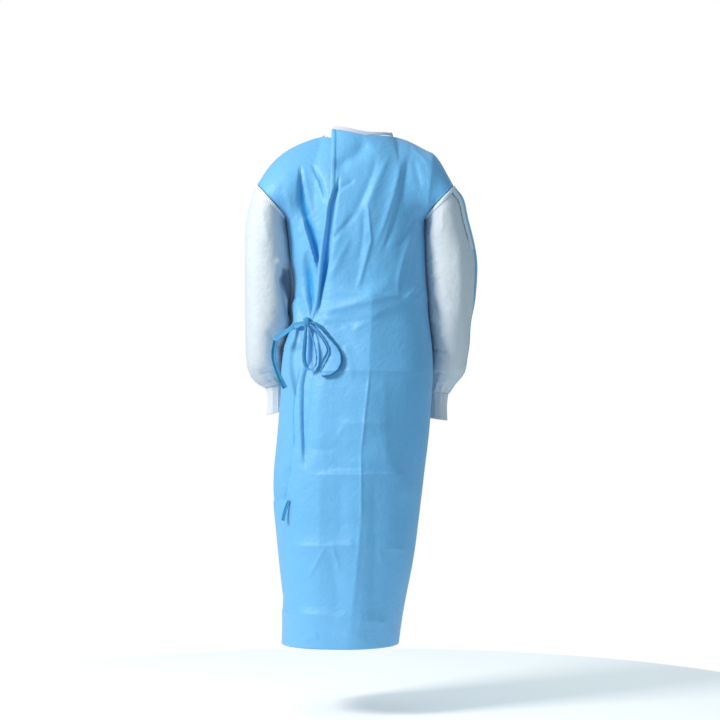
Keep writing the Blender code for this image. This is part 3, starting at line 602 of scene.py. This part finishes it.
INNER_CREASES = (
    (300.6, 212, 316.6, 267, 0, 3.2, 3.2, 6.5, 1.5),
    (297, 216, 299, 236, 0, 5.0, 4.0, 2.8, 1.5),
    (286, 190, 292, 230, 2, 9.0, 9.0, 2.4, 1.6),
    (290, 236, 295, 290, 2, 9.0, 8.0, -3.0, 1.7),
    (294, 300, 299, 322, 0, 9.0, 8.0, 7.0, 2.2),
    (299, 320, 300.5, 348, 0, 8.0, 8.0, 7.0, 2.2),
    (290, 345, 292, 420, 2, 10.0, 10.0, 3.0, 1.6),
    (298, 298.5, 300, 297.5, 0, 2.5, 2.5, -5.0, 1.5),
    (291, 468, 283, 500, 0, 14.0, 4.0, -6.0, 1.3),
    (273, 500, 289, 500, 0, 3.0, 12.0, -5.0, 1.3),
)
OUTER_FOLDS = (
    # valley beside the rolled free edge
    ((174, 339, 1, 2, 0), (184, 338, 3, 4, -4), (191, 335.8, 5, 5, -12), (202, 332.8, 5.5, 6, -15),
     (211, 331.2, 5.5, 7, -16), (227, 329, 5, 7, -16), (251, 326.4, 5.5, 7, -17), (277, 323.2, 4.5, 5.5, -15),
     (296, 320.6, 3.5, 4, -10), (310, 318.6, 2.5, 2.5, -4), (317, 317.6, 2, 2, 0)),
    # fold inside the bow's loop and on below it
    ((321, 312, 2, 2, 0), (329, 312.8, 6, 7, -10), (340, 313.4, 9, 9, -16), (360, 313, 8, 9, -16),
     (372, 309, 8, 9, -12), (386, 305.6, 8, 9, -11), (402, 304.6, 8, 9, -11), (430, 304, 6, 7, -8.5),
     (452, 304.4, 4, 5, -6), (470, 305, 2.5, 3, 0)),
)
INNER_FOLDS = (
    ((165, 300.2, 1.5, 1.5, 0), (171, 300.7, 3, 3, -5), (181, 301.8, 7, 5, -8), (191, 303, 11, 7, -9.5),
     (205, 304.8, 16, 9, -10.5), (219, 308, 14, 9, -11.5), (232, 312, 10, 9, -12.5), (245, 315.4, 8, 8, -12.5),
     (257, 317, 5, 5, -10), (266, 317.4, 3, 3, -4), (270, 317.6, 2, 2, 0)),
    ((250, 307, 4, 5, 0), (262, 307.5, 10, 14, -7), (276, 308, 14, 16, -11), (289, 309, 12, 14, -12),
     (300, 310.5, 8, 9, -12), (310, 311.5, 4, 6, -9), (319, 311.5, 2, 3, 0)),
    ((161, 312, 1.5, 1.5, 0), (170, 314.5, 2.5, 4, -4), (182, 319.5, 3, 6, -8), (193, 323, 3, 5, -7),
     (203, 325.5, 2, 3, 0)),
)
LEFT_SLEEVE_FOLDS = (
    ((258, 283, 5, 5, 0), (267, 287, 12, 12, -8), (278, 288, 12, 12, -9), (289, 290, 10, 12, -8),
     (300, 292, 6, 10, -7), (320, 292.5, 4, 8, -7), (335, 289, 4, 7, -5), (345, 287, 3, 5, 0)),
)
FRONT_CREASES = (
    (348, 190, 338, 250, 3, 12.0, 16.0, 5.1, 1.6),
    (392, 176, 402, 262, -3, 14.0, 12.0, 5.4, 1.6),
    (318, 205, 326, 290, 4, 14.0, 18.0, -5.8, 1.6),
    (360, 150, 364, 330, 2, 30.0, 30.0, 4.4, 1.2),
    (364, 330, 357, 470, -2, 34.0, 34.0, 5.1, 1.15),
    (357, 470, 350, 640, 0, 34.0, 34.0, 5.1, 1.15),
    (300, 300, 420, 306, 3, 18.0, 26.0, 3.7, 1.3),
    (306, 372, 412, 368, 0, 18.0, 24.0, 3.1, 1.2),
    (300, 471, 408, 474, 0, 10.0, 28.0, 3.7, 1.2),
    (298, 548, 396, 545, 0, 18.0, 26.0, 3.4, 1.2),
    (300, 616, 384, 612, 0, 20.0, 26.0, 3.1, 1.2),
    (318, 380, 310, 520, 5, 18.0, 22.0, 4.4, 1.5),
    (396, 352, 404, 560, -4, 20.0, 22.0, 4.8, 1.5),
    (332, 560, 328, 640, 0, 12.0, 16.0, -4.1, 1.6),
)
FRONT_RIGHT_SLEEVE_CREASES = (
    (434, 280, 462, 296, 2, 6.0, 9.0, -5.1, 1.5),
    (438, 330, 466, 322, -2, 6.0, 10.0, 4.4, 1.6),
    (444, 240, 452, 330, 3, 12.0, 12.0, 4.1, 1.7),
    (438, 366, 458, 372, 0, 3.0, 6.0, -4.1, 1.5),
)
FRONT_LEFT_SLEEVE_CREASES = (
    (256, 284, 282, 300, -2, 7.0, 9.0, -5.1, 1.5),
    (254, 334, 278, 324, 2, 6.0, 10.0, 4.4, 1.6),
    (262, 236, 258, 320, -3, 12.0, 14.0, 3.7, 1.7),
    (262, 372, 278, 366, 0, 3.0, 6.0, -4.1, 1.5),
)
BACK_RIGHT_SLEEVE_CREASES = (
    (433, 350, 447, 352, 0, 3.0, 5.0, -3.0, 1.5),
    (430, 262, 446, 300, 2, 10.0, 12.0, 2.0, 1.7),
    (432, 300, 441, 330, 0, 8.0, 8.0, -2.4, 1.6),
    (434, 373, 453, 376, 0, 3.0, 5.0, -4.0, 1.5),
    (436, 382, 456, 380, 0, 3.0, 4.0, 2.4, 1.5),
    (458, 240, 462, 330, 0, 12.0, 14.0, 2.4, 1.8),
    (443, 208, 442, 232, 0, 4.0, 4.0, 2.0, 1.6),
    (429, 263, 439, 262, 2, 3.0, 4.0, 1.8, 1.5),
    (428, 276, 438, 271, -2, 3.0, 5.0, 1.8, 1.5),
    (431, 285, 443, 279, 2, 4.0, 5.0, -2.0, 1.5),
    (430, 318, 440, 326, 0, 4.0, 6.0, 2.0, 1.5),
    (436, 338, 446, 333, 0, 4.0, 6.0, 1.8, 1.5),
)
BACK_LEFT_SLEEVE_CREASES = (
    (276, 261, 291, 269, 0, 3.0, 9.0, 4.6, 1.4),
    (281, 274, 289, 320, 0, 9.0, 10.0, -6.5, 1.7),
    (268, 330, 284, 352, 0, 9.0, 9.0, -3.0, 1.7),
    (261, 373.5, 277, 370.6, 0, 3.0, 5.0, -4.4, 1.5),
    (265, 384, 279, 377, 0, 3.0, 5.0, -4.2, 1.5),
    (252, 230, 256, 330, 0, 14.0, 14.0, 2.4, 1.8),
    (262, 206, 268, 240, 0, 6.0, 6.0, 2.0, 1.6),
)


def fold_columns(points):
    """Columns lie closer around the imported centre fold."""
    return 1.0 + 1.3 * np.exp(-((points[:, 0] - 0.010) / 0.026) ** 4)


def panel(name, step, creases=(), folds=(), weight=None, columns_weight=None):
    """A panel of the body as a fine grid on its solid's skin."""
    size = PANELS[name]
    coarse = grid_of(name, size["rows"], size["columns"], WALLS["cloth"])
    middle = coarse.shape[1] // 2
    rows_at = steps_along(coarse[:, middle], step, weight)
    across_line = coarse[UNDERARM_ROW // 2]
    columns_at = finer_ends(across_line, steps_along(across_line, step, columns_weight), *size["close"])
    held = np.zeros(coarse.shape[1])
    for edge in size["armholes"]:
        near = np.abs(np.arange(coarse.shape[1]) - (edge % coarse.shape[1]))
        held = np.maximum(held, smooth(1.0 - near / 3.0))
    held = held[None, :, None]
    grid = spline(coarse, rows_at) * (1.0 - held) + spline(coarse, rows_at, (UNDERARM_ROW,)) * held
    turned = grid.transpose(1, 0, 2)
    high = smooth((rows_at - (size["rows"] - 5)) / 4.0)[None, :, None]
    fine = spline(turned, columns_at) * (1.0 - high) + spline(turned, columns_at, size["neck"]) * high
    grid = fine.transpose(1, 0, 2)
    deep = np.zeros(grid.shape[:2])
    if name == "back_panel_left":
        corner = np.exp(-((grid[..., 0] + 0.073) / 0.012) ** 2) * smooth((grid[..., 2] + 0.06) / 0.03)
        grid[..., 2] += 0.0045 * corner
    if len(creases):
        across, down = shown(grid)
        height = crease_height(creases, across, down)
        height += fold_height(folds, across, down)
        height *= seam_hold(grid, size)
        if "rolled" in size:
            height += rolled_edge(grid)
        # Painted shade in the deepest folds and valleys.
        deep = smooth((-height - 0.4 * SHADED_FOLD_DEPTH) / (0.6 * SHADED_FOLD_DEPTH))
        grid = grid + normals_of(grid) * height[..., None]
    sewn = (SIDE_SEAM + (1.0 - SIDE_SEAM) * smooth((rows_at - UNDERARM_ROW + 0.5) / 1.5))[:, None]
    near = seam_nearness(grid, sewn * (0 in size["armholes"]), sewn * (-1 in size["armholes"]))
    grid = grid + normals_of(grid) * seam_profile(near)[..., None]
    # A painted shadow along the lapped free edge below the waist.
    if "rolled" in size:
        away = run_lengths(grid, 1)
        level = grid[..., 2]
        below = smooth((-0.575 - level) / 0.02) * smooth((level + 0.775) / 0.02)
        near = np.maximum(near, below * (away < LAP_SHADOW_WIDTH))
    return grid, np.maximum(near, deep)


def rolled_edge(grid):
    """Height of the rolled free edge above the waist."""
    away = run_lengths(grid, 1)
    return ROLL_HEIGHT * np.exp(-((away - ROLL_MIDDLE) / ROLL_WIDTH) ** 4) * smooth((grid[..., 2] + 0.50) / 0.06)


def seam_nearness(grid, first, last, top=1.0):
    """1 on the sewn edges, falling to 0 beside them, times the weight of each edge."""
    along = run_lengths(grid, 1)
    up = run_lengths(grid, 0)
    near = first * np.clip(1.0 - along / SEAM_WIDTH, 0.0, 1.0)
    near = np.maximum(near, last * np.clip(1.0 - (along[:, -1:] - along) / SEAM_WIDTH, 0.0, 1.0))
    return np.maximum(near, top * np.clip(1.0 - (up[-1:] - up) / SEAM_WIDTH, 0.0, 1.0))


def seam_profile(near):
    """The cloth is plump just beside a seam and dips into it."""
    return SEAM_PLUMP * np.sin(math.pi * np.clip(near, 0.0, 0.6) / 0.6) - SEAM_DIP * smooth((near - 0.35) / 0.65)


def seam_hold(grid, size):
    """1 on the open cloth, falling to 0 at the sewn edges."""
    along = run_lengths(grid, 1)
    hold = np.ones(along.shape)
    if 0 in size["armholes"]:
        hold *= smooth(along / SEAM_HOLD)
    if -1 in size["armholes"]:
        hold *= smooth((along[:, -1:] - along) / SEAM_HOLD)
    up = run_lengths(grid, 0)
    return hold * smooth((up[-1:] - up) / SEAM_HOLD)


def dress(piece, nodes):
    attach(piece, "root")
    if nodes:
        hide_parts(*nodes)
    return piece


def flat_size(grid):
    return float(run_lengths(grid, 1)[:, -1].max()), float(run_lengths(grid, 0)[-1].max())


def declare_sheet(grid):
    width, length = flat_size(grid)
    width = max(width, NARROWEST_SHEET)


BACK_LEVELS = (-0.415, -0.59, -0.84, -1.01, -1.18)


def fold_levels(points):
    near = np.abs(points[:, 2][:, None] - np.array(BACK_LEVELS)).min(axis=1)
    return 1.0 + 1.2 * np.exp(-(near / 0.012) ** 2)


def make_panels():
    made = {}
    plans = (
        ("back_panel_right", 0.0042, OUTER_CREASES, OUTER_FOLDS, fold_levels),
        ("back_panel_left", 0.0038, INNER_CREASES, INNER_FOLDS, None),
        ("front_panel", 0.0060, FRONT_CREASES, (), None),
    )
    for name, step, creases, folds, weight in plans:
        grid, near = panel(name, step, creases, folds, weight, fold_columns if weight else None)
        # The cloth's mask of painted shade goes with it: seams, deep folds and the lap edge's shadow.
        piece = sheet_mesh(name + "_cloth", grid, BLUE, painted_shade=near)
        dress(piece, [name])
        declare_sheet(grid)
        made[name] = grid
    return made


SLEEVE_CREASES = {
    "sleeve_back_left": BACK_LEFT_SLEEVE_CREASES,
    "sleeve_back_right": BACK_RIGHT_SLEEVE_CREASES,
    "sleeve_front_left": FRONT_LEFT_SLEEVE_CREASES,
    "sleeve_front_right": FRONT_RIGHT_SLEEVE_CREASES,
}
# How far each sleeve half dips at the seams on its first and last column, and how much shade is painted into them
SLEEVE_SEAMS = {
    "sleeve_back_left": (1.0, 0.0),
    "sleeve_back_right": (0.0, 0.0),
    "sleeve_front_left": (0.0, 1.0),
    "sleeve_front_right": (0.0, 0.0),
}


def sleeve_grid(name, rows_at):
    """A sleeve half as a fine grid on its solid's skin, and how deep in a seam or a fold each point lies, which sets
    the shade painted there.
    """
    size = SLEEVES[name]
    coarse = grid_of(name, size["rows"], size["columns"], WALLS["cloth"])
    if rows_at is None:
        middle = coarse[:, size["columns"] // 2]
        rows_at = finer_ends(middle, steps_along(middle, 0.0038), 0.040, 0.014)
    across_line = coarse[size["rows"] // 2]
    columns_at = finer_ends(across_line, steps_along(across_line, 0.0038), 0.020, 0.020)
    grid = spline(spline(coarse, rows_at).transpose(1, 0, 2), columns_at).transpose(1, 0, 2)
    across, down = shown(grid)
    along = run_lengths(grid, 1)
    up = run_lengths(grid, 0)
    hold = smooth(along / SEAM_HOLD) * smooth((along[:, -1:] - along) / SEAM_HOLD)
    height = crease_height(SLEEVE_CREASES[name], across, down)
    turns = 2.0 * math.pi * along / GATHER_PITCH
    gathers = np.sin(turns + 1.3 * np.sin(turns / 3.1)) * (0.7 + 0.3 * np.sin(turns / 4.3))
    height = (height + GATHER_HEIGHT * gathers * smooth(1.0 - up / GATHER_REACH)) * hold
    if name == "sleeve_back_left":
        height += fold_height(LEFT_SLEEVE_FOLDS, across, down) * smooth((along[:, -1:] - along) / 0.004)
    # Painted shade in the deepest folds.
    deep = smooth((-height - 0.3 * SHADED_FOLD_DEPTH) / (0.7 * SHADED_FOLD_DEPTH))
    grid = grid + normals_of(grid) * height[..., None]
    near = seam_nearness(grid, *SLEEVE_SEAMS[name])
    grid = grid + normals_of(grid) * seam_profile(near)[..., None]
    return coarse, grid, np.maximum(near, deep), rows_at


def lay_against(side, halves, panels):
    """Move the inner side of a sleeve's halves sideways until it shows no gap beside the body."""
    way = -1.0 if side == "right" else 1.0
    levels = np.arange(205.0, 356.0, 1.5)
    body = np.full(len(levels), -np.inf)
    for grid in panels.values():
        across, down = shown(grid)
        for k, level in enumerate(levels):
            close = np.abs(down - level) < 1.4
            if close.any():
                body[k] = max(body[k], (-way * across[close]).max())
    pictures = [shown(grid) for grid in halves]
    inner = np.max([(way * across).max(axis=1) for across, _ in pictures], axis=0)
    at = np.argmax(way * pictures[0][0], axis=1)
    down = pictures[0][1][np.arange(len(at)), at]
    gap = -np.interp(down, levels, body) - inner
    moved = np.clip(gap + TOUCH_PIXELS, 0.0, TOUCH_MOST) * smooth((down - 212.0) / 6.0) * smooth((350.0 - down) / 12.0)
    spread = np.ones(7) / 7.0
    moved = np.convolve(np.pad(moved, 3, mode="edge"), spread, mode="valid") * PIXEL
    found = []
    for grid, (across, _) in zip(halves, pictures):
        along = run_lengths(grid, 1)
        first_is_inner = (way * across[:, 0]).mean() > (way * across[:, -1]).mean()
        away = along if first_is_inner else along[:, -1:] - along
        laid = grid.copy()
        laid[..., 0] += way * moved[:, None] * smooth(1.0 - away / TOUCH_REACH)
        found.append(laid)
    return found


def outline_runs(grid, pixels):
    """On each row, how far from the last column the cloth lies this many pixels inside the outline."""
    across, _ = shown(grid)
    along = run_lengths(grid, 1)
    runs = []
    for k in range(len(grid)):
        peak = int(np.argmax(across[k]))
        inside = np.interp(across[k, peak] - pixels, across[k, :peak + 1], along[k, :peak + 1])
        runs.append(along[k, -1] - inside)
    spread = np.ones(9) / 9.0
    runs = np.convolve(np.pad(np.array(runs), 4, mode="edge"), spread, mode="valid")
    high = smooth((grid[:, 0, 2] + 0.47) / 0.07)
    return LAPPED_LEAST + (runs - LAPPED_LEAST) * high


def make_sleeves(panels):
    made = {}
    for side in ("left", "right"):
        coarse_back, back, near_back, rows_at = sleeve_grid("sleeve_back_" + side, None)
        coarse_front, front, near_front, _ = sleeve_grid("sleeve_front_" + side, rows_at)
        back, front = lay_against(side, (back, front), panels)
        if side == "right":
            lap = outline_runs(back, LAPPED_PIXELS)
            line = outline_runs(back, OVERLOCK_PIXELS)
            along = run_lengths(back, 1)
            # A painted shade line along the right sleeve's top seam, just inside the overlock.
            beside = np.exp(-((along[:, -1:] - along - line[:, None]) / SEAM_SHADE_LINE_WIDTH) ** 2)
            near_back = np.maximum(near_back, beside * smooth((back[..., 2] + 0.285) / 0.02))
            made["lap"], made["line"] = lap, line
            lapped = turned_back(strip_beside(back, "last", lap, 14), "last")
            lapped = lapped + normals_of(lapped) * LAPPED_LIFT
            front = np.concatenate((lapped[:, :-1], front + normals_of(front) * LAPPED_LIFT), axis=1)
            near_front = np.concatenate((np.zeros(lapped.shape[:2])[:, :-1], near_front), axis=1)
        for half, coarse, grid, near in (("back", coarse_back, back, near_back),
                                         ("front", coarse_front, front, near_front)):
            name = "sleeve_" + half + "_" + side
            # The mask of painted shade goes with it: seams, deep folds and the dark line beside the right sleeve's top
            # seam.
            piece = sheet_mesh(name + "_cloth", grid, PALE if half == "back" else BLUE, painted_shade=near)
            dress(piece, [name])
            declare_sheet(grid)
            made[name] = (coarse, grid)
    return made


def turned_to(grid, edge):
    """The grid turned so that an edge of it, top, first or last, is its first line."""
    if edge == "top":
        return grid[::-1]
    turned = grid.transpose(1, 0, 2)
    return turned if edge == "first" else turned[::-1]


def turned_back(grid, edge):
    if edge == "top":
        return grid[::-1]
    return (grid if edge == "first" else grid[::-1]).transpose(1, 0, 2)


def strip_beside(grid, edge, width, count, start=0.0):
    """Points on a sheet from one place beside an edge to another, that nearer the edge first."""
    turned = turned_to(grid, edge)
    runs = run_lengths(turned, 0)
    starts = np.broadcast_to(start, turned.shape[1])
    widths = np.broadcast_to(width, turned.shape[1])
    lines = []
    for k in range(turned.shape[1]):
        wanted = np.linspace(starts[k], starts[k] + widths[k], count)
        lines.append(np.stack([np.interp(wanted, runs[:, k], turned[:, k, axis]) for axis in range(3)], axis=1))
    return np.array(lines).transpose(1, 0, 2)


def make_overlock(name, grid, edge, start=0.0008, width=OVERLOCK_WIDTH, lowest=None):
    """Band of overlock stitches lying on a sheet beside one of its edges."""
    lines = strip_beside(grid, edge, width, OVERLOCK_LINES, start).transpose(1, 0, 2)
    if lowest is not None:
        lines = lines[lines[:, 0, 2] > lowest]
    lines = spline(lines, steps_along(lines[:, 0], OVERLOCK_STEP))
    band = turned_back(lines.transpose(1, 0, 2), edge)
    along = run_lengths(lines, 0)[:, :1] / OVERLOCK_PITCH
    crown = np.sin(math.pi * np.linspace(0.0, 1.0, OVERLOCK_LINES))[None, :]
    ribs = OVERLOCK_RIB * np.abs(np.sin(math.pi * along)) * (0.5 + 0.5 * crown)
    height = OVERLOCK_LIFT * (0.6 + 0.4 * crown) + ribs
    height = turned_back(height.T[..., None], edge)
    band = band + normals_of(band) * height
    piece = sheet_mesh(name, band, THREAD_WHITE)
    dress(piece, [])
    declare_sheet(band)


def make_overlocks(sleeves):
    for side in ("left", "right"):
        make_overlock("overlock_armhole_back_" + side, sleeves["sleeve_back_" + side][1], "top")
        make_overlock("overlock_armhole_front_" + side, sleeves["sleeve_front_" + side][1], "top")
    make_overlock("overlock_sleeve_left", sleeves["sleeve_front_left"][1], "last")
    lap = sleeves["lap"]
    make_overlock("overlock_sleeve_right", sleeves["sleeve_back_right"][1], "last", start=lap,
                  width=sleeves["line"] - lap - SEAM_SHADE_LINE_WIDTH / 2.0, lowest=-0.30)


CUFF_LOOPS = ((0.0, 1.0), (0.022, 0.88), (0.045, 0.86), (0.066, 0.90))
CUFF_RIBS = 34
CUFF_RIB_HEIGHT = 0.0007


def make_cuff(side, sleeves):
    """Rib-knit tube below the sleeve's hem."""
    back = sleeves["sleeve_back_" + side][0][0]
    front = sleeves["sleeve_front_" + side][0][0]
    if side == "right":
        hem = np.concatenate((back[:-1], front[:-1]))
    else:
        hem = np.concatenate((front[:-1], back[:-1]))
    middle = hem.mean(axis=0)
    loops = []
    for drop, width in CUFF_LOOPS:
        loop = middle + (hem - middle) * width
        loop[:, 2] = hem[:, 2] - drop
        loops.append(loop)
    loops = np.array(loops)[::-1]
    rows_at = np.linspace(0.0, len(loops) - 1.0, 34)
    count = CUFF_RIBS * 8
    closed = np.concatenate((loops, loops, loops, loops[:, :1]), axis=1)
    points = loops.shape[1]
    columns_at = points + np.arange(count) * points / count
    grid = spline(spline(closed, rows_at).transpose(1, 0, 2), columns_at).transpose(1, 0, 2)
    ribs = np.cos(np.arange(count) * 2.0 * math.pi * CUFF_RIBS / count)[None, :, None]
    grid = grid + normals_of(grid, ring=True) * (ribs * CUFF_RIB_HEIGHT - CUFF_RIB_HEIGHT)
    across = run_lengths(np.concatenate((grid, grid[:, :1]), axis=1), 1)[:, :-1]
    cloth = np.stack((across, run_lengths(grid, 0)), axis=2)
    piece = sheet_mesh("cuff_" + side + "_knit", grid, KNIT, ring=True, thickness=0.0009, cloth=cloth)
    dress(piece, ["cuff_" + side])


def make_binding():
    """Bias tape folded over the neckline, as a rounded band."""
    coarse = grid_of("neck_binding", BINDING["rows"], BINDING["columns"], WALLS["binding"])
    at = steps_along(coarse[0], 0.0022)
    base = spline(coarse[0], at)
    top = spline(coarse[1], at)
    out = normals_of(np.array((base, top)))[0]
    middle_in = -out * WALLS["binding"] / 2.0
    loops = []
    turns = 16
    for k in range(turns):
        angle = 2.0 * math.pi * k / turns
        flat = np.sign(math.sin(angle)) * abs(math.sin(angle)) ** 0.55
        deep = np.sign(math.cos(angle)) * abs(math.cos(angle)) ** 0.75
        middle = (base + top) / 2.0 + middle_in
        slim = 1.0 - 0.72 * smooth((-0.058 - middle[:, :1]) / 0.008) * (middle[:, 1:2] < 0.02)
        loops.append(middle + ((top - base) * flat * 0.5 + out * deep * WALLS["binding"] * 0.5) * slim)
    grid = np.array(loops).transpose(1, 0, 2)
    cloth = np.stack((np.tile(np.linspace(0.0, 0.02, turns), (len(at), 1)), run_lengths(grid, 0)), axis=2)
    piece = sheet_mesh("neck_binding_tape", grid, BINDING_WHITE, ring=True, thickness=0.0, cloth=cloth)
    close_ends(piece)
    dress(piece, ["neck_binding"])


def close_ends(piece):
    """Fill the open ends of a tube and point its faces out."""
    mesh = bmesh.new()
    mesh.from_mesh(piece.data)
    ends = [edge for edge in mesh.edges if edge.is_boundary]
    bmesh.ops.holes_fill(mesh, edges=ends, sides=0)
    bmesh.ops.recalc_face_normals(mesh, faces=mesh.faces)
    mesh.to_mesh(piece.data)
    mesh.free()


# Each tie's fold across it, its waves along it and their pitch, in metres
TIE_FORMS = {
    "tie_strap_left": (0.0009, 0.0007, 0.006),
    "tie_tail_left": (0.0011, 0.0005, 0.021),
    "tie_loop_centre": (0.0009, 0.0004, 0.017),
    "tie_loop_right": (0.0009, 0.0004, 0.019),
    "tie_tail_right": (0.0010, 0.0005, 0.016),
    "tie_end_inner": (0.0007, 0.0003, 0.012),
}


SHADED_TIES = ("tie_tail_left", "tie_loop_right", "tie_end_inner")


def make_ties():
    for name, rows in TIES.items():
        coarse = grid_of(name, rows, 2, WALLS["tie"])
        rows_at = steps_along(coarse[:, 0], 0.0022)
        line = spline(coarse, rows_at)
        across = np.linspace(0.0, 1.0, 11)
        grid = line[:, :1] * (1.0 - across)[None, :, None] + line[:, 1:] * across[None, :, None]
        along = run_lengths(grid, 0)[:, 5:6]
        cup, wave, pitch = TIE_FORMS[name]
        folded = cup * np.cos(2.0 * math.pi * across)[None, :]
        waves = wave * np.sin(2.0 * math.pi * (along / pitch + 0.35 * across[None, :]))
        ends = smooth(along / 0.008) * smooth((along[-1] - along) / 0.006)
        grid = grid + normals_of(grid) * ((folded + waves * ends))[..., None]
        cloth = TIE_SHADED if name in SHADED_TIES else TIE_BLUE
        piece = sheet_mesh(name + "_ribbon", grid, cloth, thickness=0.0012)
        dress(piece, [name])
        declare_sheet(grid)


KNOT_GROOVE = 0.22


def make_knot():
    low, high = (Vector(corner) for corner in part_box("tie_knot"))
    middle = (low + high) / 2.0
    bpy.ops.object.select_all(action="DESELECT")
    bpy.ops.mesh.primitive_uv_sphere_add(segments=48, ring_count=32, radius=1.0)
    piece = bpy.context.object
    piece.name = "tie_knot_wrap"
    size = (high - low) / 2.0
    for vert in piece.data.vertices:
        round_place = vert.co.copy()
        squared = Vector([math.copysign(abs(value) ** 0.72, value) for value in round_place])
        wraps = math.sin(7.5 * round_place.z + 4.0 * round_place.x)
        squared *= 1.0 - KNOT_GROOVE * max(0.0, -wraps) ** 2
        vert.co = Vector([middle[k] + squared[k] * size[k] for k in range(3)])
    layer = piece.data.uv_layers.active
    layer.name = "cloth"
    piece.data.materials.append(TIE_BLUE)
    piece.data.shade_smooth()
    dress(piece, ["tie_knot"])


def aim(item, target):
    item.rotation_euler = (Vector(target) - item.location).to_track_quat("-Z", "Y").to_euler()


def set_camera():
    data = bpy.data.cameras.new("camera")
    data.sensor_width = SENSOR
    data.lens = SENSOR * CAMERA_DISTANCE / (PICTURE * PIXEL)
    camera = bpy.data.objects.new("camera", data)
    camera.location = (CAMERA_X, -CAMERA_DISTANCE, CAMERA_Z)
    camera.rotation_euler = (math.pi / 2.0, 0.0, 0.0)
    bpy.context.scene.collection.objects.link(camera)
    bpy.context.scene.camera = camera


LIGHT_COLUMNS = ("name", "kind", "from", "size", "strength", "colour")
LIGHTS = (
    ("key", "AREA", (-2.08, -1.48, 0.85), 0.8, 76.0, (1.0, 0.95, 0.89)),
    ("top", "SUN", (-1.6, -1.2, 3.4), 40.0, 0.25, (1.0, 1.0, 1.0)),
)
LIGHTS_AIM = (0.0, 0.0, -0.5)
SKY = (0.68, 0.90, 1.0, 1.0)
SKY_STRENGTH = 0.48
FLOOR_GLOW = 0.30
FLOOR_RADIUS = 1.2


def set_lights():
    for row in LIGHTS:
        light = dict(zip(LIGHT_COLUMNS, row))
        data = bpy.data.lights.new(light["name"], light["kind"])
        if light["kind"] == "SUN":
            data.angle = math.radians(light["size"])
        else:
            data.size = light["size"]
        data.energy = light["strength"]
        data.color = light["colour"]
        lamp = bpy.data.objects.new(light["name"], data)
        lamp.location = light["from"]
        aim(lamp, LIGHTS_AIM)
        bpy.context.scene.collection.objects.link(lamp)
    world = bpy.data.worlds.new("studio")
    world.use_nodes = True
    tree = world.node_tree
    lighting = tree.nodes["Background"]
    lighting.inputs["Color"].default_value = SKY
    lighting.inputs["Strength"].default_value = SKY_STRENGTH
    backdrop = tree.nodes.new("ShaderNodeBackground")
    backdrop.inputs["Color"].default_value = (1.0, 1.0, 1.0, 1.0)
    rays = tree.nodes.new("ShaderNodeLightPath")
    mixed = tree.nodes.new("ShaderNodeMixShader")
    tree.links.new(rays.outputs["Is Camera Ray"], mixed.inputs[0])
    tree.links.new(lighting.outputs[0], mixed.inputs[1])
    tree.links.new(backdrop.outputs[0], mixed.inputs[2])
    tree.links.new(mixed.outputs[0], tree.nodes["World Output"].inputs["Surface"])
    bpy.context.scene.world = world
    bpy.context.scene.view_settings.view_transform = "Standard"


def set_floor():
    bpy.ops.object.select_all(action="DESELECT")
    bpy.ops.mesh.primitive_circle_add(vertices=96, radius=FLOOR_RADIUS, fill_type="NGON",
                                      location=(0.0, 0.0, FLOOR_Z))
    floor = bpy.context.object
    floor.name = "floor"
    floor.data.materials.append(floor_paint("pale_floor"))


set_camera()
set_lights()
set_floor()
panels = make_panels()
sleeves = make_sleeves(panels)
for cuff_side in ("left", "right"):
    make_cuff(cuff_side, sleeves)
make_overlocks(sleeves)
make_binding()
make_ties()
make_knot()
